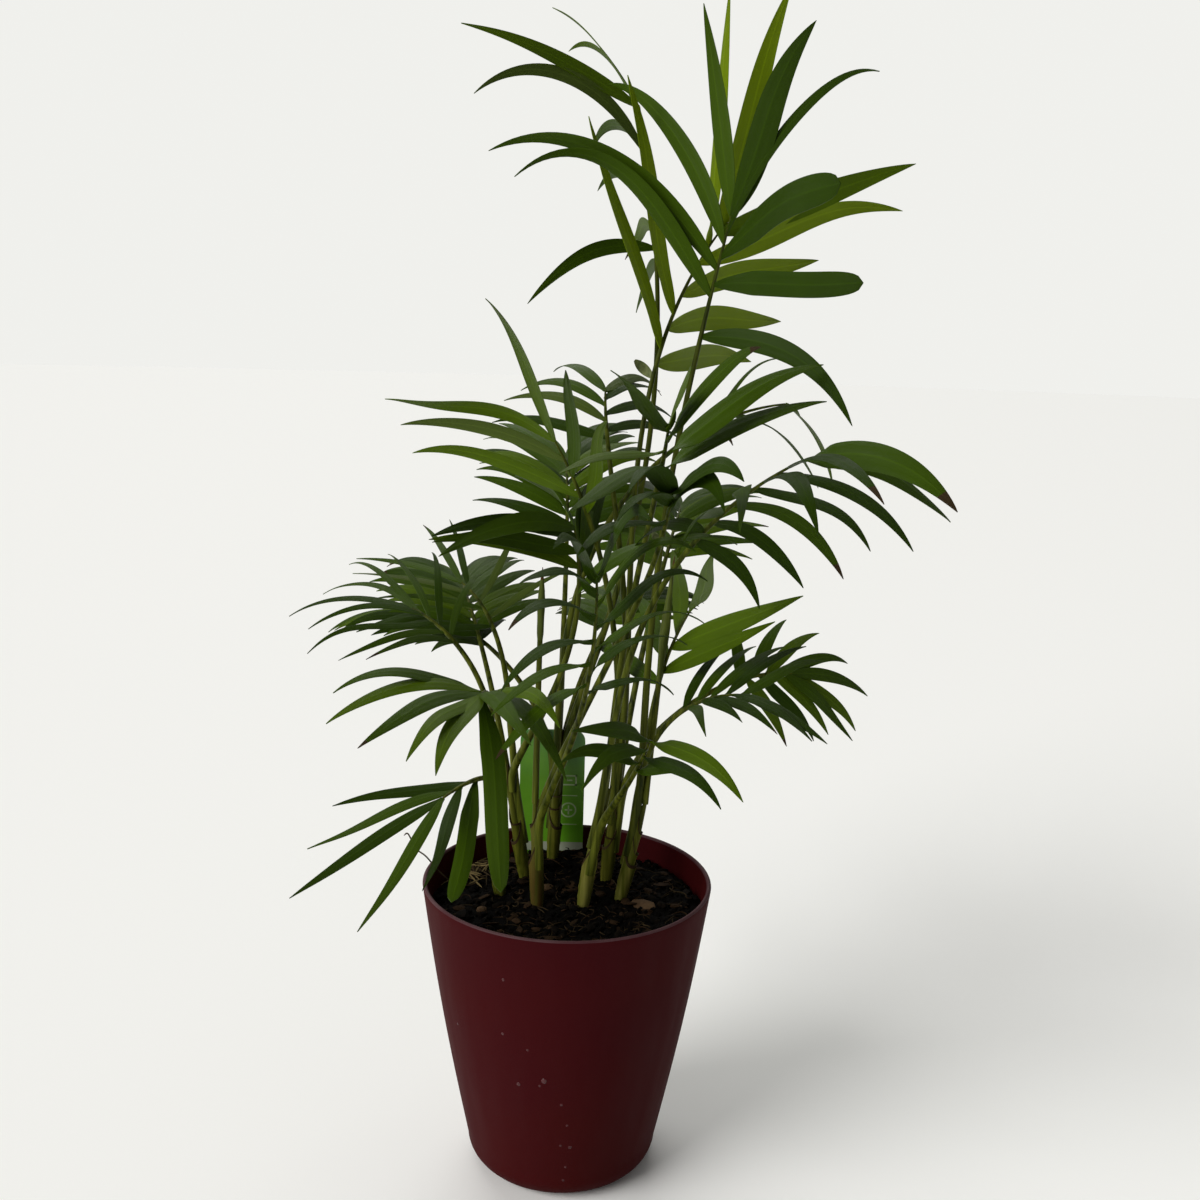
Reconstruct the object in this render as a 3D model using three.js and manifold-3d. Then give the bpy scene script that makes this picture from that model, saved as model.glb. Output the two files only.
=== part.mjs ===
// A potted parlour palm: seven slender canes in a plastic pot, each carrying a few
// feathered fronds on long stalks. Millimetres, +Z up, origin under the middle of the pot.

import * as THREE from 'three';
import { mergeVertices } from 'three/addons/utils/BufferGeometryUtils.js';
import Module from 'manifold-3d';

const wasm = await Module();
wasm.setup();

// ---- driving sizes: pot, soil and label -------------------------------------------------

const POT_HEIGHT = 145;
const RIM_RADIUS = 70;
const WALL_FOOT_RADIUS = 47;
const FOOT_ROUNDING = 12;
const POT_WALL = 2.2;
const POT_FLOOR = 3;
const WALL_BULGE = 1.4;

const SOIL_TOP = 134;
const SOIL_FLAT_RADIUS = 57;
const SOIL_EDGE_DROP = 3;

const LABEL_WIDTH = 34;
const LABEL_TOP = 201;
const LABEL_THICKNESS = 0.9;
const LABEL_CORNER = 6;
const LABEL_X = -10.5;
const LABEL_Y = 58.5;

// Solids that touch keep this much air between them.
const GAP = 0.3;
const SHORTEST_EDGE = 0.02;

// ---- driving sizes: the plant ------------------------------------------------------------

const CANE_FOOT_RADIUS = 2.9;
const CANE_RADIUS = 3.6;
const CANE_TIP_RADIUS = 2.9;
const CANE_FOOT_HEIGHT = 16;

const STALK_FOOT_RADIUS = 2.3;
const STALK_TIP_RADIUS = 1.5;
const RIB_TIP_RADIUS = 1.0;
const RIB_NECK = 5;

const LEAFLET_THICKNESS = 1.1;
const LEAFLET_FOLD = -0.12;
const LONG_LEAFLET = 75;
const LONG_LEAFLET_STATIONS = [0, 0.15, 0.45, 0.75, 1];
const SHORT_LEAFLET_STATIONS = [0, 0.2, 0.6, 1];
const TIP_PAIR_WIDENING = 1.1;

// A leaflet that would meet something else is turned by these angles in order, and left
// out where none of them clears.
const LEAFLET_TURNS = [0, 12, -12, 24, -24, 36, -36];

// Canes: foot on the soil, height, and the lean from vertical towards a bearing, where 0 is
// +X and 90 is +Y. The lean grows by bend on the way up.
const CANES = [
  { foot: [-14, -10], height: 62, lean: 2, bend: 0, bearing: 180 },
  { foot: [8, -8], height: 62, lean: 6, bend: 10, bearing: 0 },
  { foot: [26, 1], height: 58, lean: 12, bend: 0, bearing: 0 },
  { foot: [-33, 3], height: 60, lean: 6, bend: 0, bearing: 180 },
  { foot: [-22, 24], height: 60, lean: 10, bend: 0, bearing: 180 },
  { foot: [-9, 48], height: 70, lean: 4, bend: 0, bearing: 60 },
  { foot: [19, 22], height: 70, lean: 6, bend: 0, bearing: 30 },
];

// Fronds: the cane and the height up it where the stalk leaves, the arc of stalk and rib
// (bearing and swing, lean and bend, lengths), the roll of the blade about its rib, then the
// leaflets: pairs below the end pair, length and width, how much shorter the lowest are,
// their spread from the rib at its foot and tip, their lift out of the blade's plane, and how
// far they droop. Lost leaflets are named by pair and hand. A leaflet that stands out from its
// frond's rule has its own pair, hand, spread, lift, length and droop.
const FRONDS = [
  // Top storey: two dark fronds with a pale young one between them.
  {
    cane: 3, up: 40, bearing: 42, swing: -90, lean: 0, bend: 17, stalk: 227, rib: 58, roll: -80,
    pairs: 5, leaf: [100, 12], shorter: 0, spread: [94, 35], lift: 21, droop: 0.15,
    lost: [[0, -1], [1, -1], [1, 1]],
    own: [
      [0, 1, 73, -4, 89, 1.51], [2, -1, 42, 38, 115, 1.28], [2, 1, 75, 14, 102, 0.12],
      [3, -1, 49, 38, 125, 1.18], [3, 1, 54, 17, 92, 0.33], [4, -1, 47, 8, 111, 0.78],
      [4, 1, 24, 17, 117, 1.01], [5, -1, 34, 3, 96, 0.07], [5, 1, 26, 29, 98, 0.47],
    ],
  },
  {
    cane: 7, up: 60, bearing: 115, swing: -90, lean: -7, bend: 45, stalk: 200, rib: 72, roll: 80,
    pairs: 4, leaf: [115, 13], shorter: 0, spread: [66, 26], lift: 6, droop: 0.15,
    lost: [[2, 1]],
    own: [[0, 1, 48, 15, 110, 0], [3, -1, 34, -19, 124, 0.33], [4, -1, 26, -24, 113, 0.28]],
  },
  {
    cane: 6, up: 60, bearing: 15, swing: 36, lean: 22, bend: -42, stalk: 253, rib: 72, roll: 66,
    pairs: 5, leaf: [96, 11], shorter: 0.2, spread: [87, 35], lift: 32, droop: 0.9,
    lost: [[1, 1], [2, 1], [4, 1]],
    own: [[3, 1, 33, 46, 105, 1.28], [5, -1, 51, 35, 94, 0.47], [5, 1, 50, 27, 95, 0.28]],
  },
  // Middle storey, left to right.
  {
    cane: 7, up: 50, bearing: -140, swing: -35, lean: 0, bend: 30, stalk: 140, rib: 37, roll: -30,
    pairs: 2, leaf: [100, 11], shorter: 0, spread: [50, 45], lift: -15, droop: 0.55,
  },
  {
    cane: 2, up: 55, bearing: -50, swing: -40, lean: 3, bend: 55, stalk: 177, rib: 30, roll: -30,
    pairs: 3, leaf: [80, 11], shorter: 0.1, spread: [70, 12], lift: -12, droop: 0.2,
    lost: [[2, 1]],
    own: [
      [0, -1, 75, 2, 79, 0.51], [1, -1, 81, 9, 82, 0.37], [2, -1, 18, -10, 78, 0.5],
      [3, -1, 5, -6, 55, 0.32], [3, 1, 20, -8, 84, 0.1],
    ],
  },
  {
    cane: 6, up: 60, bearing: 15, swing: -10, lean: -2, bend: 85, stalk: 180, rib: 52, roll: 60,
    pairs: 2, leaf: [70, 9], shorter: 0.3, spread: [60, 50], lift: 25, droop: 0.9,
    lost: [[1, 1], [2, 1]],
    own: [
      [0, -1, 46, 56, 52, 1.2], [0, 1, 36, 17, 55, 0.98], [1, -1, 38, 11, 71, 1.5],
      [2, -1, 51, 30, 73, 1.52],
    ],
  },
  {
    cane: 7, up: 60, bearing: 145, swing: -55, lean: -5, bend: 57, stalk: 168, rib: 32, roll: -10,
    pairs: 3, leaf: [62, 8], shorter: 0, spread: [60, 30], lift: -15, droop: 0.85,
  },
  {
    cane: 2, up: 50, bearing: -70, swing: 54, lean: 8, bend: 53, stalk: 147, rib: 58, roll: 20,
    pairs: 5, leaf: [82, 12], shorter: 0.4, spread: [86, 40], lift: -15, droop: 1.25,
    own: [[5, -1, 47, -12, 83, 0.94], [5, 1, 23, -44, 74, 1.36]],
  },
  {
    cane: 1, up: 50, bearing: -22, swing: -68, lean: 25, bend: 25, stalk: 161, rib: 37, roll: -33,
    pairs: 3, leaf: [62, 12], shorter: 0.3, spread: [90, 15], lift: 3, droop: 0.9,
    lost: [[1, -1]], own: [[2, -1, 15, -2, 53, 1.63], [3, -1, 24, -28, 49, 1.07]],
  },
  {
    cane: 1, up: 45, bearing: -58, swing: -34, lean: 39, bend: -4, stalk: 98, rib: 68, roll: -30,
    pairs: 5, leaf: [58, 10], shorter: 0.15, spread: [90, 16], lift: 4, droop: 1.1,
  },
  {
    cane: 5, up: 55, bearing: -52, swing: 79, lean: 36, bend: -50, stalk: 115, rib: 22, roll: 52,
    pairs: 3, leaf: [88, 11], shorter: 0.1, spread: [55, 66], lift: 16, droop: 0.6,
  },
  {
    cane: 3, up: 45, bearing: 84, swing: -70, lean: 5, bend: 26, stalk: 64, rib: 37, roll: 0,
    pairs: 3, leaf: [75, 11], shorter: 0, spread: [76, 45], lift: -5, droop: 0.4,
    lost: [[2, 1], [3, 1]],
    own: [[0, 1, 56, -6, 68, 0], [1, 1, 54, -2, 76, 0], [3, -1, 62, -16, 70, 0]],
  },
  // Lower storey.
  {
    cane: 3, up: 35, bearing: -48, swing: 37, lean: -3, bend: 91, stalk: 71, rib: 30, roll: -16,
    pairs: 4, leaf: [52, 7], shorter: 0, spread: [62, 40], lift: 16, droop: 0.6,
  },
  {
    cane: 2, up: 45, bearing: -69, swing: -12, lean: 51, bend: -3, stalk: 63, rib: 32, roll: 14,
    pairs: 2, leaf: [54, 11], shorter: 0.1, spread: [67, 43], lift: -15, droop: 1.1,
    own: [
      [0, -1, 24, -11, 43, 0.61], [0, 1, 48, -2, 47, 0.92], [1, -1, 44, -24, 47, 1.07],
      [1, 1, 43, -26, 48, 1.32], [2, -1, 55, -19, 50, 1.04], [2, 1, 39, -14, 54, 0.62],
    ],
  },
  {
    cane: 4, up: 45, bearing: -82, swing: -13, lean: 5, bend: 85, stalk: 83, rib: 18, roll: 0,
    pairs: 4, leaf: [74, 11], shorter: 0, spread: [66, 12], lift: 24, droop: 0.8,
    lost: [[0, -1]],
    own: [
      [1, -1, 43, -13, 68, 1.2], [1, 1, 55, 9, 74, 0.87], [2, 1, 33, 6, 74, 0.75],
      [4, -1, 37, -62, 88, 1.26], [4, 1, 5, 29, 68, 0.65],
    ],
  },
  {
    cane: 4, up: 50, bearing: -167, swing: -43, lean: -7, bend: 82, stalk: 80, rib: 28, roll: 20,
    pairs: 4, leaf: [64, 8], shorter: 0.2, spread: [64, 12], lift: 12, droop: 0.8,
    own: [[1, -1, 61, 4, 56, 0.6], [2, -1, 47, 2, 63, 0.9], [3, -1, 27, 13, 59, 1.16]],
  },
  {
    cane: 5, up: 50, bearing: 109, swing: 27, lean: -4, bend: 74, stalk: 81, rib: 32, roll: 20,
    pairs: 3, leaf: [68, 8], shorter: 0.3, spread: [79, 15], lift: 5, droop: 0.4,
  },
  {
    cane: 4, up: 30, bearing: -64, swing: -70, lean: 25, bend: 87, stalk: 72, rib: 22, roll: 4,
    pairs: 2, leaf: [72, 10], shorter: 0.2, spread: [51, 16], lift: -15, droop: 0.1,
    own: [[0, -1, 42, -54, 66, 0]],
  },
  {
    cane: 7, up: 50, bearing: -17, swing: 41, lean: 28, bend: 72, stalk: 84, rib: 28, roll: -68,
    pairs: 4, leaf: [54, 9], shorter: 0.3, spread: [70, 15], lift: -15, droop: 0.7,
  },
  // Far side of the clump.
  {
    cane: 6, up: 55, bearing: 85, swing: 10, lean: 6, bend: 60, stalk: 120, rib: 58, roll: 0,
    pairs: 5, leaf: [70, 10], shorter: 0.3, spread: [70, 30], lift: 10, droop: 0.6,
  },
  {
    cane: 5, up: 45, bearing: 125, swing: -20, lean: 20, bend: 60, stalk: 85, rib: 50, roll: 0,
    pairs: 4, leaf: [64, 10], shorter: 0.3, spread: [70, 30], lift: 10, droop: 0.6,
  },
  {
    cane: 7, up: 45, bearing: 60, swing: 20, lean: 15, bend: 60, stalk: 125, rib: 55, roll: 0,
    pairs: 4, leaf: [68, 10], shorter: 0.3, spread: [70, 30], lift: 10, droop: 0.6,
  },
  {
    cane: 6, up: 60, bearing: 60, swing: 10, lean: 30, bend: 60, stalk: 75, rib: 40, roll: 0,
    pairs: 4, leaf: [56, 9], shorter: 0.3, spread: [70, 30], lift: 10, droop: 0.7,
  },
  {
    cane: 6, up: 55, bearing: 145, swing: 10, lean: 30, bend: 60, stalk: 72, rib: 42, roll: 0,
    pairs: 4, leaf: [56, 9], shorter: 0.3, spread: [70, 30], lift: 10, droop: 0.7,
  },
];

// ---- materials ---------------------------------------------------------------------------

const COLOURS = {
  pot: 0x381516,
  soil: 0x0f0b08,
  label: 0x3a6a14,
  cane: 0x55601f,
  stalk: 0x3d5518,
  leaf: 0x2f4a10,
  young: 0x5a6f0c,
};

function finish(kind, roughness) {
  return new THREE.MeshStandardMaterial({ color: COLOURS[kind], roughness, metalness: 0 });
}

// ---- solids ------------------------------------------------------------------------------

const radians = THREE.MathUtils.degToRad;
const mix = THREE.MathUtils.lerp;

// A closed three.js geometry as a solid, without the slivers at a pole or a pointed end.
function solidFrom(geometry) {
  const bare = geometry.clone();
  bare.deleteAttribute('normal');
  bare.deleteAttribute('uv');
  const merged = mergeVertices(bare, 1e-4);
  const corners = merged.index.array;
  const faces = [];
  for (let i = 0; i < corners.length; i += 3) {
    const [a, b, c] = [corners[i], corners[i + 1], corners[i + 2]];
    if (a !== b && b !== c && c !== a) {
      faces.push(a, b, c);
    }
  }
  const vertProperties = new Float32Array(merged.attributes.position.array);
  const triVerts = new Uint32Array(faces);
  return new wasm.Manifold(new wasm.Mesh({ numProp: 3, vertProperties, triVerts }));
}

function geometryFrom(solid) {
  const mesh = solid.getMesh();
  const geometry = new THREE.BufferGeometry();
  geometry.setAttribute('position', new THREE.BufferAttribute(mesh.vertProperties, 3));
  geometry.setIndex(new THREE.BufferAttribute(mesh.triVerts, 1));
  geometry.computeVertexNormals();
  return geometry;
}

// The largest piece of a cut solid, with its shortest edges closed up. Scraps that a cut
// leaves are dropped.
function mainPiece(solid) {
  const pieces = solid.asOriginal().simplify(SHORTEST_EDGE).decompose();
  pieces.sort((a, b) => b.volume() - a.volume());
  return pieces[0];
}

// A cylinder whose rings are moved onto stations. Each station gives the middle of its ring,
// two directions across it, the half sizes along them, and how far the sides rise.
function swept(sides, stations) {
  const spans = stations.length - 1;
  const shape = new THREE.CylinderGeometry(1, 1, 1, sides, spans);
  const place = shape.attributes.position;
  const point = new THREE.Vector3();
  for (let i = 0; i < place.count; i += 1) {
    const { at, side, up, wide, deep, rise } = stations[Math.round((place.getY(i) + 0.5) * spans)];
    const x = place.getX(i);
    point.copy(at);
    point.addScaledVector(side, x * wide);
    point.addScaledVector(up, place.getZ(i) * deep + Math.abs(x) * rise);
    place.setXYZ(i, point.x, point.y, point.z);
  }
  return solidFrom(shape);
}

// ---- arcs of the limbs -------------------------------------------------------------------

// Direction of growth at a lean from vertical towards a bearing, with the two directions
// across it: side lies level, and up is the upper face.
function heading(lean, bearing, roll = 0) {
  const a = radians(lean);
  const b = radians(bearing);
  const r = radians(roll);
  const along = new THREE.Vector3(Math.sin(a) * Math.cos(b), Math.sin(a) * Math.sin(b), Math.cos(a));
  const upper = new THREE.Vector3(-Math.cos(a) * Math.cos(b), -Math.cos(a) * Math.sin(b), Math.sin(a));
  const level = along.clone().cross(upper);
  const side = level.clone().multiplyScalar(Math.cos(r)).addScaledVector(upper, Math.sin(r));
  const up = upper.multiplyScalar(Math.cos(r)).addScaledVector(level, -Math.sin(r));
  return { along, side, up };
}

// A limb's middle line, followed in short steps. The bend comes mostly near the end.
const ARC_STEPS = 40;
const ARC_POWER = 1.5;

function arcOf({ from, bearing, swing = 0, lean, bend, length, roll = 0, power = ARC_POWER }) {
  const turned = (u) => heading(lean + bend * u ** power, bearing + swing * u, roll);
  const line = [from.clone()];
  for (let i = 0; i < ARC_STEPS; i += 1) {
    const { along } = turned((i + 0.5) / ARC_STEPS);
    line.push(line[i].clone().addScaledVector(along, length / ARC_STEPS));
  }
  return (u) => {
    const step = Math.min(Math.floor(u * ARC_STEPS), ARC_STEPS - 1);
    const at = line[step].clone().lerp(line[step + 1], u * ARC_STEPS - step);
    return { at, ...turned(u) };
  };
}

// A tapering limb between two places on an arc, with flat ends.
function limb(arc, from, to, spans, sides, radius) {
  const stations = [];
  for (let i = 0; i <= spans; i += 1) {
    const part = i / spans;
    const size = radius(part);
    stations.push({ ...arc(mix(from, to, part)), wide: size, deep: size, rise: 0 });
  }
  return swept(sides, stations);
}

// Repeatable random numbers, so that the same plant grows every time.
function randomFrom(seed) {
  let state = (seed * 2654435761 + 12345) % 4294967296;
  const next = () => {
    state = (state * 1664525 + 1013904223) % 4294967296;
    return state / 4294967296;
  };
  next();
  next();
  next();
  return next;
}

// ---- canes -------------------------------------------------------------------------------

function caneArc(cane) {
  const from = new THREE.Vector3(...cane.foot, SOIL_TOP);
  return arcOf({ ...cane, from, length: cane.height, power: 1 });
}

// A cane is drawn in at its foot and tapers from there to its top.
function caneRadius(cane, part) {
  const low = Math.max(0, 1 - (part * cane.height) / CANE_FOOT_HEIGHT);
  return mix(CANE_RADIUS, CANE_TIP_RADIUS, part) - (CANE_RADIUS - CANE_FOOT_RADIUS) * low ** 2;
}

// The cane is cut level at the soil, which it clears by the gap.
function caneSolid(cane, grow = 0) {
  const spans = 6;
  const sides = 8;
  const tip = 1 + grow / cane.height;
  const whole = limb(caneArc(cane), 0, tip, spans, sides, (part) => caneRadius(cane, part) + grow);
  return whole.trimByPlane([0, 0, 1], SOIL_TOP + GAP);
}

// ---- fronds ------------------------------------------------------------------------------

const LIMB_SIDES = 5;

function frondArc(frond) {
  const cane = CANES[frond.cane - 1];
  const from = caneArc(cane)(frond.up / cane.height).at;
  return arcOf({ ...frond, from, length: frond.stalk + frond.rib });
}

function stalkSolid(frond, grow = 0) {
  const whole = frond.stalk + frond.rib;
  const end = (frond.stalk - RIB_NECK - GAP / 2) / whole;
  const spans = Math.ceil(frond.stalk / 26);
  const radius = (part) => mix(STALK_FOOT_RADIUS, STALK_TIP_RADIUS, part) + grow;
  return limb(frond.arc, 0, end, spans, LIMB_SIDES, radius);
}

function ribSolid(frond) {
  const whole = frond.stalk + frond.rib;
  const start = (frond.stalk - RIB_NECK + GAP / 2) / whole;
  const radius = (part) => mix(STALK_TIP_RADIUS, RIB_TIP_RADIUS, part);
  return limb(frond.arc, start, 1, Math.max(3, Math.ceil(frond.rib / 18)), LIMB_SIDES, radius);
}

// The leaflets of a frond, pair by pair from its foot to the pair at its tip.
function leafletsOf(frond, seed) {
  const random = randomFrom(seed);
  const whole = frond.stalk + frond.rib;
  const leaflets = [];
  for (let i = 0; i <= frond.pairs; i += 1) {
    for (const hand of [-1, 1]) {
      const last = i === frond.pairs;
      const part = last ? 1 : (i + 0.22 * (hand + 1)) / frond.pairs;
      const root = frond.arc((frond.stalk + frond.rib * part) / whole);
      const shortened = frond.leaf[0] * (1 - frond.shorter * (1 - part) ** 1.3);
      const grown = [
        mix(frond.spread[0], frond.spread[1], part) + 10 * (random() - 0.5),
        frond.lift + 12 * (random() - 0.5),
        shortened * (1 + 0.12 * (random() - 0.5)),
        frond.droop * (0.8 + 0.4 * random()),
      ];
      const own = (frond.own ?? []).find((one) => one[0] === i && one[1] === hand);
      const [spread, lift, length, droop] = own ? own.slice(2) : grown;
      const width = frond.leaf[1] * (last ? TIP_PAIR_WIDENING : 1);
      leaflets.push({ pair: i, root, hand, spread, lift, length, width, droop });
    }
  }
  const lost = (frond.lost ?? []).map((place) => place.join());
  return leaflets.filter(({ pair, hand }) => !lost.includes([pair, hand].join()));
}

// Half width along a leaflet as a share of its greatest: soon wide, then a long fine point.
function leafletOutline(part) {
  return Math.sin(Math.PI * part ** 0.75) ** 0.7 * (1 - 0.25 * part);
}

const LEAFLET_STEPS = 20;

// A leaflet's stations: it leaves the rib at its spread and lift, then droops under its
// weight. The root ring sits inside the rib.
function leafletStations(leaflet, turn, grow) {
  const { root, hand, length, width, droop } = leaflet;
  const spread = radians(leaflet.spread);
  const lift = radians(leaflet.lift + turn);
  const start = root.along.clone().multiplyScalar(Math.cos(spread));
  start.addScaledVector(root.side, hand * Math.sin(spread) * Math.cos(lift));
  start.addScaledVector(root.up, Math.sin(spread) * Math.sin(lift));
  const at = root.at.clone();
  const side = start.clone().cross(root.up).normalize();
  const stations = [];
  for (let i = 0; i <= LEAFLET_STEPS; i += 1) {
    const part = i / LEAFLET_STEPS;
    const middle = (i + 0.5) / LEAFLET_STEPS;
    const along = start.clone();
    along.z -= droop * middle ** 1.5;
    along.normalize();
    side.addScaledVector(along, -side.dot(along)).normalize();
    const up = side.clone().cross(along);
    stations.push({ part, at: at.clone(), side: side.clone(), up });
    at.addScaledVector(along, length / LEAFLET_STEPS);
  }
  const places = length > LONG_LEAFLET ? LONG_LEAFLET_STATIONS : SHORT_LEAFLET_STATIONS;
  return places.map((part) => {
    const station = stations[Math.round(part * LEAFLET_STEPS)];
    const half = part === 0 ? RIB_TIP_RADIUS : (width / 2) * leafletOutline(part);
    const wide = part === 1 ? grow : half + grow;
    const deep = part === 1 ? grow : LEAFLET_THICKNESS / 2 + grow;
    return { ...station, wide, deep, rise: part === 1 ? 0 : wide * LEAFLET_FOLD };
  });
}

function leafletSolid(leaflet, turn, grow = 0) {
  return swept(4, leafletStations(leaflet, turn, grow));
}

// ---- what is already in place ------------------------------------------------------------

const placed = [];

function put(owner, solid) {
  placed.push({ owner, solid, box: solid.boundingBox() });
}

function boxesMeet(a, b) {
  return [0, 1, 2].every((k) => a.min[k] <= b.max[k] && b.min[k] <= a.max[k]);
}

function isClear(solid, owner) {
  const box = solid.boundingBox();
  const near = placed.filter((other) => other.owner !== owner && boxesMeet(box, other.box));
  return near.every((other) => solid.intersect(other.solid).isEmpty());
}

// ---- pot, soil and label -----------------------------------------------------------------

const POT_SIDES = 44;

// The wall's outline from foot to rim, drawn in by an amount for the inner face.
function wallOutline(inset, bottom, top) {
  const points = [];
  const roundSteps = 3;
  const wallSteps = 4;
  const rounding = FOOT_ROUNDING - inset;
  const centre = WALL_FOOT_RADIUS - FOOT_ROUNDING;
  for (let i = 0; i < roundSteps; i += 1) {
    const a = (Math.PI / 2) * (i / roundSteps);
    points.push(new THREE.Vector2(centre + rounding * Math.sin(a), bottom + rounding * (1 - Math.cos(a))));
  }
  for (let i = 0; i <= wallSteps; i += 1) {
    const part = i / wallSteps;
    const bulge = WALL_BULGE * Math.sin(Math.PI * part);
    const radius = mix(WALL_FOOT_RADIUS, RIM_RADIUS, part) + bulge - inset;
    points.push(new THREE.Vector2(radius, mix(bottom + rounding, top, part)));
  }
  return points;
}

// An outline of radius and height turned about the pot's axis.
function turnedSolid(outline) {
  return solidFrom(new THREE.LatheGeometry(outline, POT_SIDES).rotateX(Math.PI / 2));
}

function potSolid() {
  const outside = wallOutline(0, 0, POT_HEIGHT);
  const inside = wallOutline(POT_WALL, POT_FLOOR, POT_HEIGHT).reverse();
  const outline = [new THREE.Vector2(0, 0), ...outside, ...inside, new THREE.Vector2(0, POT_FLOOR)];
  return turnedSolid(outline);
}

// Soil fills the pot to just below the rim, clear of its wall, and drops a little at its edge.
function soilSolid() {
  const bottom = POT_FLOOR + GAP;
  const wall = wallOutline(POT_WALL + GAP, bottom, POT_HEIGHT);
  const edge = SOIL_TOP - SOIL_EDGE_DROP;
  const outline = wall.filter((point) => point.y < edge - 1);
  const low = outline[outline.length - 1];
  const high = wall[outline.length];
  const radius = mix(low.x, high.x, (edge - low.y) / (high.y - low.y));
  outline.unshift(new THREE.Vector2(0, bottom));
  outline.push(new THREE.Vector2(radius, edge));
  outline.push(new THREE.Vector2(SOIL_FLAT_RADIUS, SOIL_TOP));
  outline.push(new THREE.Vector2(0, SOIL_TOP));
  return turnedSolid(outline);
}

// A plain plastic label with round upper corners, standing on the soil at the back.
function labelSolid() {
  const half = LABEL_WIDTH / 2;
  const foot = SOIL_TOP + GAP;
  const outline = new THREE.Shape();
  outline.moveTo(-half, foot);
  outline.lineTo(half, foot);
  outline.lineTo(half, LABEL_TOP - LABEL_CORNER);
  outline.absarc(half - LABEL_CORNER, LABEL_TOP - LABEL_CORNER, LABEL_CORNER, 0, Math.PI / 2);
  outline.absarc(LABEL_CORNER - half, LABEL_TOP - LABEL_CORNER, LABEL_CORNER, Math.PI / 2, Math.PI);
  outline.closePath();
  const options = { depth: LABEL_THICKNESS, bevelEnabled: false, curveSegments: 4 };
  const shape = new THREE.ExtrudeGeometry(outline, options);
  shape.rotateX(Math.PI / 2);
  shape.translate(LABEL_X, LABEL_Y + LABEL_THICKNESS, 0);
  return solidFrom(shape);
}

// ---- the whole plant ---------------------------------------------------------------------

const palm = new THREE.Group();
palm.name = 'parlour_palm';

function add(name, solid, material) {
  const mesh = new THREE.Mesh(geometryFrom(solid), material);
  mesh.name = name;
  palm.add(mesh);
}

function addPot() {
  const pieces = { pot: potSolid(), soil: soilSolid(), label: labelSolid() };
  add('pot', pieces.pot, finish('pot', 0.5));
  add('soil', pieces.soil, finish('soil', 0.95));
  add('label', pieces.label, finish('label', 0.4));
  for (const [name, solid] of Object.entries(pieces)) {
    put(name, solid);
  }
}

function addCanes() {
  CANES.forEach((cane, i) => {
    const solid = caneSolid(cane);
    add(`cane_${i + 1}`, solid, finish('cane', 0.6));
    put(`cane_${i + 1}`, solid);
  });
}

const numberOf = (i) => String(i + 1).padStart(2, '0');

// Each stalk leaves its cane clear of the cane and of the stalks that left it before.
function addStalks() {
  FRONDS.forEach((frond, i) => {
    frond.arc = frondArc(frond);
    let solid = stalkSolid(frond).subtract(caneSolid(CANES[frond.cane - 1], GAP));
    for (const earlier of FRONDS.slice(0, i)) {
      if (earlier.cane === frond.cane) {
        solid = solid.subtract(stalkSolid(earlier, GAP));
      }
    }
    solid = mainPiece(solid);
    add(`stalk_${numberOf(i)}`, solid, finish('stalk', 0.5));
    put(`stalk_${numberOf(i)}`, solid);
    put(`frond_${numberOf(i)}`, ribSolid(frond));
  });
}

// A blade is its rib with every leaflet that finds room fused on.
function addFronds() {
  FRONDS.forEach((frond, i) => {
    const name = `frond_${numberOf(i)}`;
    let blade = ribSolid(frond);
    for (const leaflet of leafletsOf(frond, i + 1)) {
      const turn = LEAFLET_TURNS.find((angle) => isClear(leafletSolid(leaflet, angle, GAP), name));
      if (turn !== undefined) {
        const solid = leafletSolid(leaflet, turn);
        blade = blade.add(solid);
        put(name, solid);
      }
    }
    add(name, mainPiece(blade), finish(i === 1 ? 'young' : 'leaf', 0.45));
  });
}

addPot();
addCanes();
addStalks();
addFronds();

export default palm;
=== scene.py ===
"""A young parlour palm in a plastic pot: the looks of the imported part. Metres, +Z up."""

from math import atan2, ceil, cos, exp, pi, radians, sin, sqrt
from random import Random

import bpy
import numpy as np
from mathutils import Matrix, Vector, noise
from mathutils.kdtree import KDTree


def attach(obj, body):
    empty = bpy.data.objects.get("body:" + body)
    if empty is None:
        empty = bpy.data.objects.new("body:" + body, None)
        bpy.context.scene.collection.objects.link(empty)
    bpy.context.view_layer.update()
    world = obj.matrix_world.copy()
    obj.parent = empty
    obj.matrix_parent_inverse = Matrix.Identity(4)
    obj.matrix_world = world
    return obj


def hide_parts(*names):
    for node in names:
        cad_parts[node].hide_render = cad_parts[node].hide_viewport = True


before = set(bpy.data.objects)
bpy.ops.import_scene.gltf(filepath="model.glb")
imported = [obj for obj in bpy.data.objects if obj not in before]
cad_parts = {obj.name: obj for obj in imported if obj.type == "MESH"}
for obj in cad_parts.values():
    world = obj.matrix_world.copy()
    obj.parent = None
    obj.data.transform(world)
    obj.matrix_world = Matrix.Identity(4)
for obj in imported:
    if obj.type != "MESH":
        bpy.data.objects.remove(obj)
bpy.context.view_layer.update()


# ---- Studio ------------------------------------------------------------------------------
# A wide pale table top in a bright room, with soft window light from the front left, less
# from behind along the leaves' edges, and the camera a step in front.

MM = 0.001
PICTURE_SIDE = 1200
FOCAL_PIXELS = 1286
SENSOR_WIDTH = 36.0
CAMERA_PLACE = Vector((12, -587, 401)) * MM
CAMERA_PITCH = radians(90 - 11.4)
CAMERA_ROLL = radians(1.65)

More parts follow.
